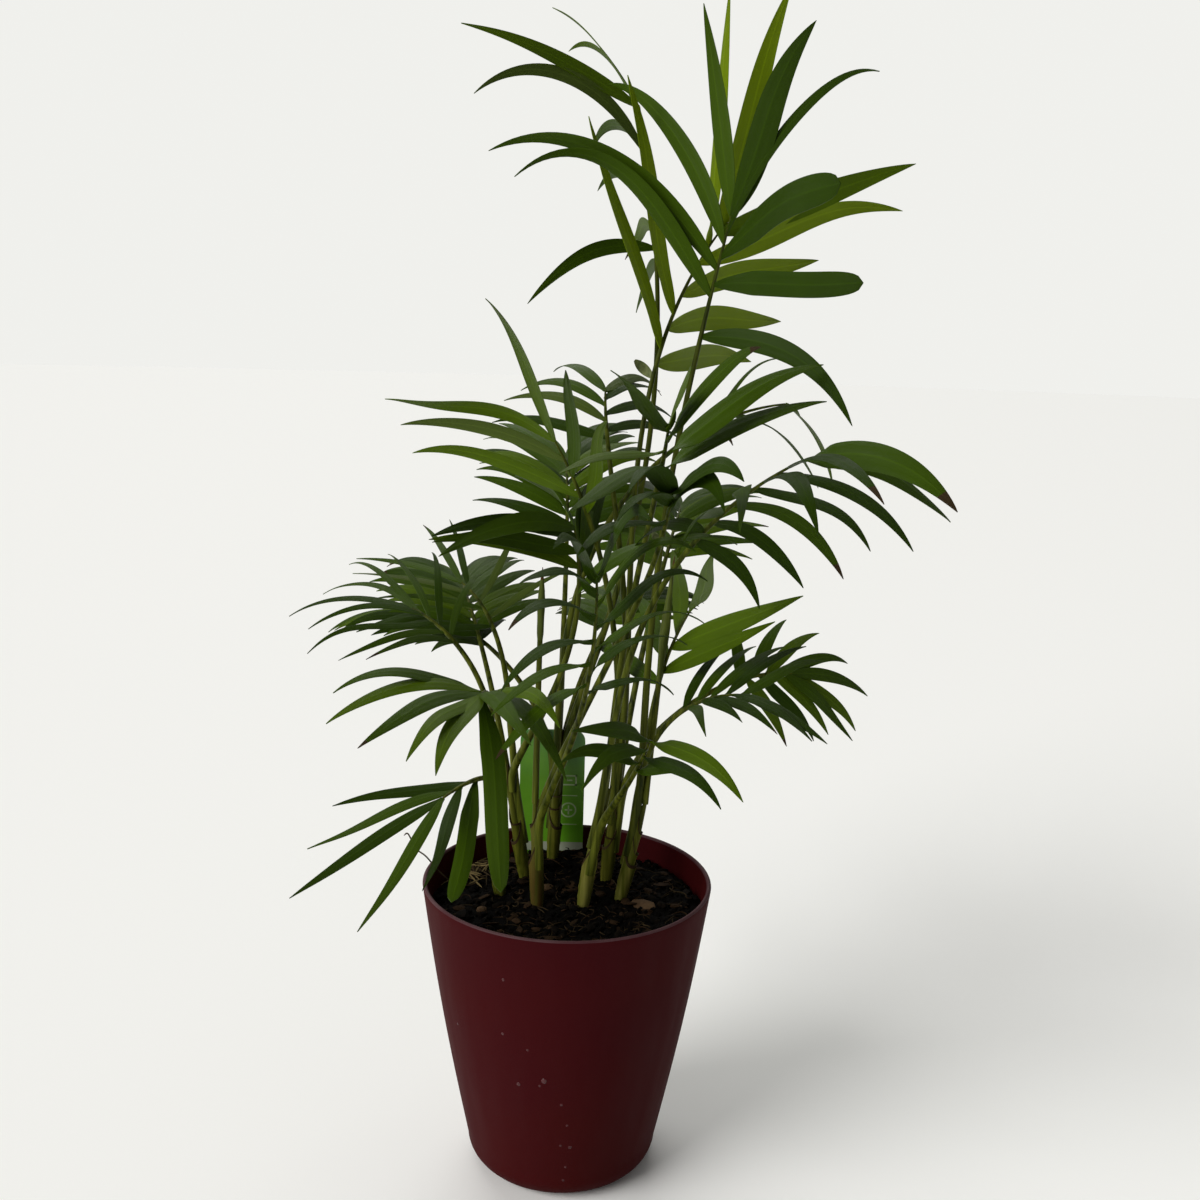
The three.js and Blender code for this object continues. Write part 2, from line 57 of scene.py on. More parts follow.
camera = bpy.data.objects.new("camera", bpy.data.cameras.new("camera"))
camera.data.sensor_width = SENSOR_WIDTH
camera.data.lens = SENSOR_WIDTH * FOCAL_PIXELS / PICTURE_SIDE
camera.data.clip_start = 0.01
turned_down = Matrix.Rotation(CAMERA_PITCH, 4, "X") @ Matrix.Rotation(CAMERA_ROLL, 4, "Z")
camera.matrix_world = Matrix.Translation(CAMERA_PLACE) @ turned_down
bpy.context.scene.collection.objects.link(camera)
bpy.context.scene.camera = camera
bpy.context.scene.view_settings.view_transform = "Standard"

PLANT_MIDDLE = Vector((0, 0, 0.28))


def window_light(name, place, strength, spread, colour):
    """Wide even daylight that comes from the direction of a place."""
    lamp = bpy.data.lights.new(name, "SUN")
    lamp.energy = strength
    lamp.angle = radians(spread)
    lamp.color = colour
    made = bpy.data.objects.new(name, lamp)
    made.location = place
    made.rotation_euler = (made.location - PLANT_MIDDLE).to_track_quat("Z", "Y").to_euler()
    bpy.context.scene.collection.objects.link(made)


window_light("front_window", (-2.3, -1.5, 1.8), 2.8, 40, (1.0, 0.99, 0.96))
window_light("back_window", (-0.4, 1.6, 2.1), 1.3, 50, (1.0, 1.0, 0.96))

WALLS_COLOUR = (1, 1, 0.965)
WALLS_SEEN = 0.873
WALLS_GLOW = 0.20


def set_inputs(node, inputs):
    """Links each input that is given as a socket, and sets any other. Colours are opaque."""
    for name, value in inputs.items():
        socket = node.inputs[name]
        if isinstance(value, bpy.types.NodeSocket):
            node.id_data.links.new(value, socket)
        elif socket.type == "RGBA":
            socket.default_value = (*value, 1)
        else:
            socket.default_value = value


def add_node(tree, kind, inputs=None, **settings):
    made = tree.nodes.new(kind)
    for setting, value in settings.items():
        setattr(made, setting, value)
    set_inputs(made, inputs or {})
    return made


def remapped(tree, value, low, high, to_low=0.0, to_high=1.0):
    """A value carried over from one range to another, and held within it."""
    ranges = {"From Min": low, "From Max": high, "To Min": to_low, "To Max": to_high}
    return add_node(tree, "ShaderNodeMapRange", {"Value": value} | ranges).outputs[0]


room = bpy.data.worlds.new("bright room")
room.use_nodes = True
seen = add_node(room.node_tree, "ShaderNodeLightPath").outputs["Is Camera Ray"]
walls = remapped(room.node_tree, seen, 0, 1, WALLS_GLOW, WALLS_SEEN)
set_inputs(room.node_tree.nodes["Background"], {"Strength": walls, "Color": WALLS_COLOUR})
bpy.context.scene.world = room


def new_material(name, colour, roughness=0.5, specular=0.5):
    """A material with a plain finish, its node tree and its own Principled shader."""
    made = bpy.data.materials.new(name)
    made.use_nodes = True
    shader = made.node_tree.nodes["Principled BSDF"]
    finish = {"Base Color": colour, "Roughness": roughness, "Specular IOR Level": specular}
    set_inputs(shader, finish)
    return made, made.node_tree, shader


def grid_patch(points, closed=False, looped=False, capped=False, slot=0, marks=None):
    """Faces over a grid of points, rows by columns. closed joins the last column to the
    first, looped the last row to the first, and capped closes the two end rows."""
    rows, columns = points.shape[:2]
    index = np.arange(rows * columns).reshape(rows, columns)
    beside = np.roll(index, -1, 1)
    quads = np.stack([index, beside, np.roll(beside, -1, 0), np.roll(index, -1, 0)], 2)
    if not looped:
        quads = quads[:-1]
    if not closed:
        quads = quads[:, :-1]
    slots = np.broadcast_to(slot, quads.shape[:2]).ravel().tolist()
    faces = quads.reshape(-1, 4).tolist()
    spots = points.reshape(-1, 3)
    places = np.zeros((rows * columns, 2)) if marks is None else marks.reshape(-1, 2)
    if capped:
        first, last = rows * columns, rows * columns + 1
        spots = np.vstack([spots, points[0].mean(0), points[-1].mean(0)])
        places = np.vstack([places, places[:columns].mean(0), places[-columns:].mean(0)])
        faces += [[first, b, a] for a, b in zip(index[0].tolist(), beside[0].tolist())]
        faces += [[last, a, b] for a, b in zip(index[-1].tolist(), beside[-1].tolist())]
        slots += [slots[0]] * columns + [slots[-1]] * columns
    return spots, faces, slots, places


def closed_shape(rings, slot=0, marks=None):
    """A closed shape from rings of points in millimetres, with both ends filled."""
    return grid_patch(np.array(rings) * MM, closed=True, capped=True, slot=slot, marks=marks)


def even_turns(sides):
    """Evenly spaced angles about an axis."""
    return np.arange(sides) * 2 * pi / sides


def turned(outline, sides):
    """Rings of points about the pot's axis from a list of radius and height."""
    angles = even_turns(sides)
    ring = np.stack([np.cos(angles), np.sin(angles), 0 * angles], 1)
    return np.array([ring * radius + (0, 0, height) for radius, height in outline])


CREASE = radians(45)


def new_piece(name, patches, materials, record_slot, nodes=()):
    """Joins patches into one smooth mesh that rides on the pot's body."""
    spots, faces, slots, places = [], [], [], []
    start = 0
    for patch_spots, patch_faces, patch_slots, patch_places in patches:
        spots.append(patch_spots)
        faces += [[start + corner for corner in face] for face in patch_faces]
        slots += patch_slots
        places.append(patch_places)
        start += len(patch_spots)
    mesh = bpy.data.meshes.new(name)
    mesh.from_pydata(np.vstack(spots).tolist(), [], faces)
    for material in materials:
        mesh.materials.append(material)
    mesh.polygons.foreach_set("material_index", slots)
    mesh.polygons.foreach_set("use_smooth", [True] * len(faces))
    corners = np.zeros(len(mesh.loops), dtype=np.int32)
    mesh.loops.foreach_get("vertex_index", corners)
    flat = mesh.uv_layers.new(name="blade")
    flat.uv.foreach_set("vector", np.vstack(places)[corners].astype(np.float32).ravel())
    mesh.set_sharp_from_angle(angle=CREASE)
    mesh.update()
    piece = bpy.data.objects.new(name, mesh)
    bpy.context.scene.collection.objects.link(piece)
    if record_slot:
        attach(piece, "root")
    if nodes:
        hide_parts(*nodes)
    return piece


FLOOR_RADIUS = 14000
FLOOR_SIDES = 96
FLOOR_UNDER_POT = 0.2
FLOOR_THICKNESS = 20

table_top, _, _ = new_material("table top", (0.94, 0.94, 0.935), 0.8)
floor_outline = [(FLOOR_RADIUS, -FLOOR_UNDER_POT), (FLOOR_RADIUS, -FLOOR_THICKNESS)]
floor = new_piece("floor", [closed_shape(turned(floor_outline, FLOOR_SIDES))], [table_top], None)


# ---- Pot ---------------------------------------------------------------------------------
# A thin-walled round pot in satin burgundy plastic, injection moulded in one piece with a
# rounded foot and a plain thin rim. Watering has left a few drops and faint runs on it.

POT_HEIGHT = 145
RIM_RADIUS = 70
WALL_FOOT_RADIUS = 47
FOOT_ROUNDING = 12
POT_WALL = 2.2
POT_FLOOR = 3
WALL_BULGE = 1.4
LIP_RADIUS = POT_WALL / 2
BASE_RECESS = 0.6
BASE_RING_RADIUS = 29
BASE_RING_SLOPE = 1.5
MIDDLE_RADIUS = 4
POT_SIDES = 180
FOOT_STEPS = 9
OUTSIDE_STEPS = 40
LIP_STEPS = 10
INSIDE_STEPS = 30


def wall_radius(height, inset=0.0):
    """Radius of the pot's outer face at a height, or of a face drawn in by an amount."""
    if height < FOOT_ROUNDING:
        rounding = FOOT_ROUNDING - inset
        below = min(FOOT_ROUNDING - height, rounding)
        return WALL_FOOT_RADIUS - FOOT_ROUNDING + sqrt(rounding**2 - below**2)
    part = (height - FOOT_ROUNDING) / (POT_HEIGHT - FOOT_ROUNDING)
    bulge = WALL_BULGE * sin(pi * part)
    return WALL_FOOT_RADIUS + (RIM_RADIUS - WALL_FOOT_RADIUS) * part + bulge - inset


def pot_outline():
    """Radius and height from the middle of the underside, up the outside, over the lip and
    down the inside to the middle of the floor."""
    outline = [(MIDDLE_RADIUS, BASE_RECESS), (BASE_RING_RADIUS - BASE_RING_SLOPE, BASE_RECESS)]
    outline.append((BASE_RING_RADIUS, 0))
    centre = WALL_FOOT_RADIUS - FOOT_ROUNDING
    for i in range(FOOT_STEPS):
        angle = pi / 2 * i / FOOT_STEPS
        outline.append((centre + FOOT_ROUNDING * sin(angle), FOOT_ROUNDING * (1 - cos(angle))))
    lip_height = POT_HEIGHT - LIP_RADIUS
    for i in range(OUTSIDE_STEPS + 1):
        height = FOOT_ROUNDING + (lip_height - FOOT_ROUNDING) * i / OUTSIDE_STEPS
        outline.append((wall_radius(height), height))
    lip_centre = wall_radius(lip_height) - LIP_RADIUS
    for i in range(1, LIP_STEPS):
        angle = pi * i / LIP_STEPS
        outline.append((lip_centre + LIP_RADIUS * cos(angle), lip_height + LIP_RADIUS * sin(angle)))
    for i in range(INSIDE_STEPS + 1):
        height = lip_height - (lip_height - FOOT_ROUNDING) * i / INSIDE_STEPS
        outline.append((wall_radius(height, POT_WALL), height))
    return outline + [(centre, POT_FLOOR), (MIDDLE_RADIUS, POT_FLOOR)]


def new_group(name, inputs, outputs):
    """An empty shader group: inputs are name, kind and value, outputs name and kind."""
    group = bpy.data.node_groups.new(name, "ShaderNodeTree")
    for label, kind, value in inputs:
        socket = group.interface.new_socket(label, in_out="INPUT", socket_type="NodeSocket" + kind)
        socket.default_value = value
    for label, kind in outputs:
        group.interface.new_socket(label, in_out="OUTPUT", socket_type="NodeSocket" + kind)
    entry = group.nodes.new("NodeGroupInput").outputs
    return group, entry, group.nodes.new("NodeGroupOutput")


def object_place(tree):
    return add_node(tree, "ShaderNodeTexCoord").outputs["Object"]


def calculated(tree, operation, first, second=0.5):
    return add_node(tree, "ShaderNodeMath", {0: first, 1: second}, operation=operation).outputs[0]


def mixed(tree, share, first, second):
    """Two colours mixed, with this share of the second."""
    colours = {0: share, 6: first, 7: second}
    return add_node(tree, "ShaderNodeMix", colours, data_type="RGBA").outputs[2]


def bumped(tree, height, distance):
    """The normal of a surface raised by a height."""
    relief = {"Height": height, "Distance": distance}
    return add_node(tree, "ShaderNodeBump", relief).outputs["Normal"]


def uneven_colour_group():
    """Two shades of a colour in soft blotches. Stretch squeezes them along one axis."""
    inputs = [
        ("Colour", "Color", (0.5, 0.5, 0.5, 1)),
        ("Second Colour", "Color", (0.4, 0.4, 0.4, 1)),
        ("Blotches per Metre", "Float", 50.0),
        ("Softness", "Float", 0.3),
        ("Stretch", "Vector", (1, 1, 1)),
    ]
    group, entry, leave = new_group("uneven colour", inputs, [("Colour", "Color"), ("Mask", "Float")])
    place = {0: object_place(group), 1: entry["Stretch"]}
    place = add_node(group, "ShaderNodeVectorMath", place, operation="MULTIPLY").outputs[0]
    grain = {"Vector": place, "Scale": entry["Blotches per Metre"], "Detail": 4.0}
    blotches = add_node(group, "ShaderNodeTexNoise", grain).outputs["Fac"]
    low = calculated(group, "SUBTRACT", 0.5, entry["Softness"])
    high = calculated(group, "ADD", 0.5, entry["Softness"])
    mask = remapped(group, blotches, low, high)
    colour = mixed(group, mask, entry["Colour"], entry["Second Colour"])
    set_inputs(leave, {"Colour": colour, "Mask": mask})
    return group


def fine_relief_group():
    """The small unevenness of a moulded, earthy or grown surface, as a normal."""
    inputs = [("Bumps per Metre", "Float", 800.0), ("Height", "Float", 0.0001)]
    group, entry, leave = new_group("fine relief", inputs, [("Normal", "Vector")])
    grain = {"Vector": object_place(group), "Scale": entry["Bumps per Metre"], "Detail": 3.0}
    bumps = add_node(group, "ShaderNodeTexNoise", grain).outputs["Fac"]
    set_inputs(leave, {"Normal": bumped(group, bumps, entry["Height"])})
    return group


UNEVEN_COLOUR = uneven_colour_group()
FINE_RELIEF = fine_relief_group()


def uneven(tree, blotches, softness=0.3, stretch=(1, 1, 1), colours=()):
    """Outputs of the uneven colour group, between two colours where they are given."""
    inputs = dict(zip(("Colour", "Second Colour"), colours))
    inputs |= {"Blotches per Metre": blotches, "Softness": softness, "Stretch": stretch}
    return add_node(tree, "ShaderNodeGroup", inputs, node_tree=UNEVEN_COLOUR).outputs


def fine_relief(tree, bumps, height):
    inputs = {"Bumps per Metre": bumps, "Height": height}
    return add_node(tree, "ShaderNodeGroup", inputs, node_tree=FINE_RELIEF).outputs["Normal"]


def earthy_material(name, colour, second, blotches, bumps, height, roughness):
    """A dull material in two shades with a fine relief."""
    made, tree, shader = new_material(name, colour, roughness, 0.05)
    paint = uneven(tree, blotches, 0.2, colours=(colour, second))["Colour"]
    set_inputs(shader, {"Base Color": paint, "Normal": fine_relief(tree, bumps, height)})
    return made


def pot_plastic():
    """Satin burgundy, redder in places, with faint runs where water dried."""
    burgundy = (0.036, 0.0018, 0.0036)
    redder = (0.045, 0.0027, 0.0024)
    made, tree, shader = new_material("pot plastic", burgundy, specular=0.05)
    paint = uneven(tree, 9.0, 0.25, colours=(burgundy, redder))["Colour"]
    runs = uneven(tree, 60.0, 0.22, (1.6, 1.6, 0.12))["Mask"]
    gloss = remapped(tree, runs, 0, 1, 0.60, 0.74)
    normal = fine_relief(tree, 1400.0, 0.00004)
    set_inputs(shader, {"Base Color": paint, "Roughness": gloss, "Normal": normal})
    return made


# The rounded lip is painted paler and greyer than the wall: a painted highlight along the rim.
lip_painted_highlight = earthy_material(
    "lip painted highlight", (0.06, 0.022, 0.026), (0.085, 0.044, 0.048), 60, 1400, 0.00004, 0.45
)
pot_rings = turned(pot_outline(), POT_SIDES)
on_lip = pot_rings[:-1, 0, 2] > POT_HEIGHT - LIP_RADIUS * 0.75
lip_slots = np.repeat(on_lip[:, None].astype(int), POT_SIDES, 1)
new_piece("plastic_pot", [closed_shape(pot_rings, lip_slots)], [pot_plastic(), lip_painted_highlight], "pot", ["pot"])

# Drops left by watering: bearing about the pot, height and radius.
DROPS = [
    (-113, 122, 0.9), (-143, 86, 0.7), (-115, 93, 0.9), (-104, 87, 0.8), (-109, 67, 1.2),
    (-97, 71, 1.6), (-99, 68, 0.8), (-89, 58, 0.9), (-86, 46, 0.8), (-89, 34, 0.8),
    (-84, 33, 1.1), (-86, 21, 0.8), (-87, 13, 0.9),
]
DROP_WIDTH_SHARE = 0.8
DROP_HEIGHT_SHARE = 0.3
DROP_SUNK = 0.1
DROP_SAG = 1.25
DROP_ROWS = 6
DROP_SIDES = 14
WALL_SLOPE = -0.15


def drop_shape(bearing, height, radius):
    """A small dome standing on the wall, its rim sunk slightly in and its lower side longer."""
    level_out = Vector((cos(radians(bearing)), sin(radians(bearing)), 0))
    place = level_out * wall_radius(height) + Vector((0, 0, height))
    out = (level_out + Vector((0, 0, WALL_SLOPE))).normalized()
    level = out.cross(Vector((0, 0, 1))).normalized()
    rise = level.cross(out)
    rings = []
    for i in range(DROP_ROWS):
        angle = pi / 2 * i / (DROP_ROWS - 0.6)
        ring = []
        for turn in even_turns(DROP_SIDES):
            sag = DROP_SAG if sin(turn) < 0 else 1.0
            across = level * cos(turn) + rise * sin(turn) * sag
            spot = place + across * radius * DROP_WIDTH_SHARE * cos(angle)
            spot += out * (radius * DROP_HEIGHT_SHARE * sin(angle) - DROP_SUNK)
            ring.append(spot[:])
        rings.append(ring)
    return closed_shape(rings)


def water_with_painted_light():
    """Opaque, lighter than the pot in soft blotches: painted light for light through the drops."""
    lighter = (0.075, 0.018, 0.020)
    made, tree, shader = new_material("water", lighter, 0.08, 0.6)
    paint = uneven(tree, 260.0, colours=(lighter, (0.050, 0.008, 0.010)))["Colour"]
    set_inputs(shader, {"Base Color": paint, "IOR": 1.33})
    return made


new_piece("water_drops", [drop_shape(*sizes) for sizes in DROPS], [water_with_painted_light()], "pot")


# ---- Compost -----------------------------------------------------------------------------
# Dark moist peat, lumpy and a little lower at the wall, with crumbs and bark chips pressed
# into it, fine dead roots over it and some dry straw on the left near the rim.

SOIL_TOP = 134
SOIL_EDGE_DROP = 3
SOIL_FLAT_RADIUS = 57
SOIL_RADIUS = 66
SOIL_RINGS = 74
SOIL_SIDES = 210
SOIL_SKIRT = 14

random = Random(11)


def soil_height(x, y):
    """Height of the peat in millimetres: lumps of three sizes, and lower at the wall."""
    radius = sqrt(x * x + y * y)
    outer = max(0.0, (radius - SOIL_FLAT_RADIUS) / (SOIL_RADIUS - SOIL_FLAT_RADIUS))
    sunk = SOIL_EDGE_DROP * outer**1.2
    lumps = 1.9 * noise.noise(Vector((x, y, 0)) * 0.09)
    lumps += 1.3 * noise.noise(Vector((x, y, 7)) * 0.28)
    lumps += 0.7 * abs(noise.noise(Vector((x, y, 3)) * 0.8))
    return SOIL_TOP - 0.2 + lumps - sunk


def soil_surface():
    wall = wall_radius(SOIL_TOP - SOIL_EDGE_DROP, POT_WALL) - 0.1
    rings = []
    for i in range(1, SOIL_RINGS + 1):
        radius = wall * i / SOIL_RINGS
        ring = []
        for angle in even_turns(SOIL_SIDES):
            x, y = radius * cos(angle), radius * sin(angle)
            ring.append((x, y, soil_height(x, y)))
        rings.append(ring)
    rings.append([(x, y, SOIL_TOP - SOIL_SKIRT) for x, y, _ in rings[-1]])
    return closed_shape(rings[::-1])


def lump(centre, size, turn, rough):
    """A rough rounded lump: a ball of four rings, stretched, dented and turned."""
    rows, columns = 4, 7
    rings = []
    for i in range(rows):
        lean = pi * (i + 0.6) / (rows + 0.2)
        ring = []
        for j in range(columns):
            angle = 2 * pi * (j + 0.5 * (i % 2)) / columns
            reach = 1 + rough * (random.random() - 0.5)
            spot = (sin(lean) * cos(angle), sin(lean) * sin(angle), -cos(lean))
            ring.append([reach * value * half for value, half in zip(spot, size)])
        rings.append(ring)
    return np.array(rings) @ np.array(turn.transposed()) + centre


def loose_turn(tilt):
    """A rotation to any bearing, with a small tilt."""
    spin = Matrix.Rotation(random.uniform(0, 2 * pi), 3, "Z")
    return spin @ Matrix.Rotation(random.gauss(0, tilt), 3, "X")


def on_soil(reach):
    """A place on the peat, evenly spread, at most this share of the way to the wall."""
    radius = SOIL_RADIUS * reach * sqrt(random.random())
    angle = random.uniform(0, 2 * pi)
    x, y = radius * cos(angle), radius * sin(angle)
    return np.array((x, y, soil_height(x, y)))


# Two in three crumbs, chips and roots have their piece's first material.
SHADES = (0, 0, 1)
CRUMBS = 1500
BARK_CHIPS = 150
DEAD_ROOTS = 150
ROOT_REACH = 63


def crumbs():
    patches = []
    for _ in range(CRUMBS):
        half = 0.35 + 1.75 * random.random() ** 2.2
        size = (half * random.uniform(0.8, 1.5), half, half * random.uniform(0.6, 0.95))
        rings = lump(on_soil(0.97) + (0, 0, 0.2 * half), size, loose_turn(0.5), 0.5)
        patches.append(closed_shape(rings, random.choice(SHADES)))
    return patches


# Large chips that lie on top: place, half sizes and bearing.
LARGE_CHIPS = [
    ((37, -8), (7.2, 4.0, 1.7), -25), ((-10, 8), (3.4, 2.6, 1.6), 20), ((-40, -18), (3.0, 2.4, 1.4), 50),
]


def bark_chips():
    patches = []
    for _ in range(BARK_CHIPS):
        length = random.uniform(1.6, 5.0)
        size = (length, length * random.uniform(0.35, 0.7), random.uniform(0.4, 1.2))
        rings = lump(on_soil(0.93) + (0, 0, 0.3), size, loose_turn(0.35), 0.35)
        patches.append(closed_shape(rings, random.choice(SHADES)))
    for (x, y), size, bearing in LARGE_CHIPS:
        turn = Matrix.Rotation(radians(bearing), 3, "Z") @ Matrix.Rotation(0.2, 3, "X")
        centre = np.array((x, y, soil_height(x, y) + 0.8))
        patches.append(closed_shape(lump(centre, size, turn, 0.12), 2))
    return patches


def strand(points, radius, sides=5):
    """A thin round strand through points, on a smooth curve, pointed at its ends."""
    line = np.array(points, dtype=float)
    ends = np.vstack([2 * line[0] - line[1], line, 2 * line[-1] - line[-2]])
    smooth = []
    for k in range(len(line) - 1):
        a, b, c, d = ends[k:k + 4]
        for t in np.arange(5) / 5:
            bend = (2 * a - 5 * b + 4 * c - d) * t**2 + (3 * b - 3 * c + d - a) * t**3
            smooth.append(0.5 * (2 * b + (c - a) * t + bend))
    smooth = np.array(smooth + [line[-1]])
    ahead = np.gradient(smooth, axis=0)
    ahead /= np.linalg.norm(ahead, axis=1)[:, None]
    across = np.cross(ahead, (0.13, 0.21, 1.0))
    across /= np.linalg.norm(across, axis=1)[:, None]
    above = np.cross(ahead, across)
    angles = even_turns(sides)
    from_start = np.arange(len(smooth))
    taper = radius * np.minimum(1, np.minimum(from_start, from_start[::-1]) / 3 + 0.25)
    ring = np.cos(angles)[None, :, None] * across[:, None]
    ring = ring + np.sin(angles)[None, :, None] * above[:, None]
    return smooth[:, None] + taper[:, None, None] * ring


def dead_roots():
    patches = []
    for _ in range(DEAD_ROOTS):
        x, y, _ = on_soil(0.93)
        bearing = random.uniform(0, 2 * pi)
        bend = random.gauss(0, 0.9)
        step = random.uniform(1.6, 5.0)
        points = []
        for k in range(5):
            points.append((x, y, soil_height(x, y) + 0.35 + random.uniform(0, 0.8)))
            x += step * cos(bearing)
            y += step * sin(bearing)
            bearing += bend * random.uniform(0.4, 1.2)
            if x * x + y * y > ROOT_REACH**2:
                break
        if len(points) > 2:
            rings = strand(points, random.uniform(0.14, 0.34))
            patches.append(closed_shape(rings, random.choice(SHADES)))
    return patches


STRAWS = 70
STRAW_MIDDLE = (-50, 26)
STRAW_SPREAD = (7, 6)
STRAW_REACH = 64

# One long straw that hangs out over the rim.
RIM_STRAW = [
    (-56, 8, 135.5), (-64, 11, 141), (-71, 16, 146.4), (-77, 24, 147), (-83, 36, 150), (-86, 41, 147),
]


def straw():
    patches = []
    for k in range(STRAWS):
        x = random.gauss(STRAW_MIDDLE[0], STRAW_SPREAD[0])
        y = random.gauss(STRAW_MIDDLE[1], STRAW_SPREAD[1])
        bearing = radians(random.choice((random.gauss(150, 40), random.uniform(0, 360))))
        half = random.uniform(3.5, 9.5)
        lift = random.uniform(0.4, 3.2)
        points = []
        for share in (-1, -0.3, 0.4, 1):
            px = x + half * share * cos(bearing)
            py = y + half * share * sin(bearing) + random.uniform(-0.6, 0.6)
            out = sqrt(px * px + py * py) / STRAW_REACH
            px, py = (px / out, py / out) if out > 1 else (px, py)
            points.append((px, py, soil_height(px, py) + lift + random.uniform(-0.2, 0.4)))
        patches.append(closed_shape(strand(points, random.uniform(0.2, 0.42)), k % 2))
    patches.append(closed_shape(strand(RIM_STRAW, 0.4), 1))
    return patches


EARTHS = {
    "peat": ((0.0005, 0.0003, 0.0002), (0.0015, 0.0009, 0.0004), 240, 900, 0.0006, 0.9),
    "peat crumb": ((0.0012, 0.0007, 0.0004), (0.0055, 0.0033, 0.0015), 300, 1200, 0.0003, 0.85),
    "bark": ((0.013, 0.007, 0.0032), (0.034, 0.0185, 0.0085), 180, 700, 0.0004, 0.8),
    "pale bark": ((0.09, 0.054, 0.028), (0.045, 0.026, 0.013), 160, 500, 0.0004, 0.75),
    "dead root": ((0.016, 0.01, 0.0045), (0.038, 0.026, 0.012), 200, 900, 0.0001, 0.8),
    "straw": ((0.2, 0.15, 0.06), (0.1, 0.072, 0.03), 150, 900, 0.0001, 0.7),
}
earths = [earthy_material(name, *looks) for name, looks in EARTHS.items()]
peat, peat_crumb, bark, pale_bark, root_brown, straw_yellow = earths

new_piece("compost", [soil_surface()], [peat], "soil", ["soil"])
new_piece("compost_crumbs", crumbs(), [peat, peat_crumb], "soil")
new_piece("compost_bark", bark_chips(), [bark, peat_crumb, pale_bark], "soil")
new_piece("compost_roots", dead_roots(), [root_brown, bark], "soil")
new_piece("compost_straw", straw(), [straw_yellow, root_brown], "soil")


# ---- Plant label -------------------------------------------------------------------------
# A printed card of thin plastic pushed in at the back, green, bluish towards its top, with a
# white foot. It bears only plain care signs: a ring with a cross, a square and a few rules.

LABEL_WIDTH = 34
LABEL_TOP = 201
LABEL_THICKNESS = 0.9
LABEL_CORNER = 6
LABEL_SUNK = 4
LABEL_X = -10.5
LABEL_Y = 58.5
WHITE_FOOT = 5
PRINT_HEIGHT = 0.06
PRINT_SUNK = 0.1


def card(width, bottom, top, corner, front, back, middle):
    """A flat upright card with round upper corners, as one closed shape."""
    half = width / 2
    rim = [(-half, bottom), (half, bottom)]
    for side, first in ((1, 0), (-1, pi / 2)):
        for i in range(7):
            angle = first + pi / 2 * i / 6
            x = side * (half - corner) + corner * cos(angle)
            rim.append((x, top - corner + corner * sin(angle)))
    ring = np.array([(middle + x, 0, z) for x, z in rim])
    return closed_shape([ring + (0, back, 0), ring + (0, front, 0)])


def printed_ring(x, z, radius, width):
    """A round line printed on the card."""
    angles = even_turns(28)
    place = np.array((LABEL_X + x, 0, z))
    around = np.stack([np.cos(angles), 0 * angles, np.sin(angles)], 1)
    raised, sunk = LABEL_Y - PRINT_HEIGHT, LABEL_Y + PRINT_SUNK
    rows = [(radius - width, sunk), (radius - width, raised), (radius, raised), (radius, sunk)]
    rings = np.array([place + around * size + (0, y, 0) for size, y in rows])
    return grid_patch(rings * MM, closed=True, looped=True)


def printed_bar(x, z, width, height):
    """A plain rule or block printed on the card."""
    front, back = LABEL_Y - PRINT_HEIGHT, LABEL_Y + PRINT_SUNK
    return card(width, z - height / 2, z + height / 2, 0.01, front, back, LABEL_X + x)


def height_share(tree, low, high):
    """How far up a place lies between two heights in millimetres, from 0 to 1."""
    height = add_node(tree, "ShaderNodeSeparateXYZ", {0: object_place(tree)}).outputs["Z"]
    return remapped(tree, height, low * MM, high * MM)


def label_green():
    """Printed green, brighter towards the foot and bluish near the top."""
    made, tree, shader = new_material("label green", (0.05, 0.14, 0.004), 0.35)
    share = height_share(tree, SOIL_TOP, LABEL_TOP)
    ramp = add_node(tree, "ShaderNodeValToRGB", {"Fac": share})
    ramp.color_ramp.elements[0].color = (0.088, 0.300, 0.004, 1)
    ramp.color_ramp.elements[1].color = (0.050, 0.180, 0.060, 1)
    ramp.color_ramp.elements.new(0.6).color = (0.068, 0.190, 0.008, 1)
    paint = uneven(tree, 70.0, colours=(ramp.outputs[0], (0.11, 0.27, 0.018)))["Colour"]
    set_inputs(shader, {"Base Color": paint})
    return made


label_white = earthy_material(
    "label white", (0.34, 0.36, 0.3), (0.26, 0.29, 0.21), 60, 600, 0.00002, 0.4
)
faded_print = earthy_material(
    "label print", (0.38, 0.46, 0.28), (0.26, 0.37, 0.17), 90, 600, 0.00002, 0.4
)
upright = (LABEL_WIDTH, SOIL_TOP - LABEL_SUNK, LABEL_TOP)
label_card = card(*upright, LABEL_CORNER, LABEL_Y, LABEL_Y + LABEL_THICKNESS, LABEL_X)
new_piece("label_card", [label_card], [label_green()], "label", ["label"])
white_foot = printed_bar(0, SOIL_TOP + WHITE_FOOT / 2, LABEL_WIDTH - 0.1, WHITE_FOOT)
new_piece("label_foot", [white_foot], [label_white], "label")

# Printed rules: place from the card's middle, height, width and thickness. The first two are
# the cross in the ring, then come the square with its bar, and rules between the signs.
RULES = [
    (9.0, 157, 0.8, 5.0), (9.0, 157, 4.0, 0.8),
    (9.0, 171, 8.0, 0.8), (9.0, 176, 8.0, 0.8), (5.4, 173.5, 0.8, 5.8), (12.6, 173.5, 0.8, 5.8),
    (9.0, 173.5, 3.4, 0.8), (9.0, 149, 9.0, 0.5), (9.0, 165, 9.0, 0.5),
]
RULES += [(0.0, z, 2.2, 0.9) for z in range(146, 182, 3)]
signs = [printed_ring(9.0, 157, 4.2, 0.8)] + [printed_bar(*sizes) for sizes in RULES]
new_piece("label_signs", signs, [faded_print], "label")


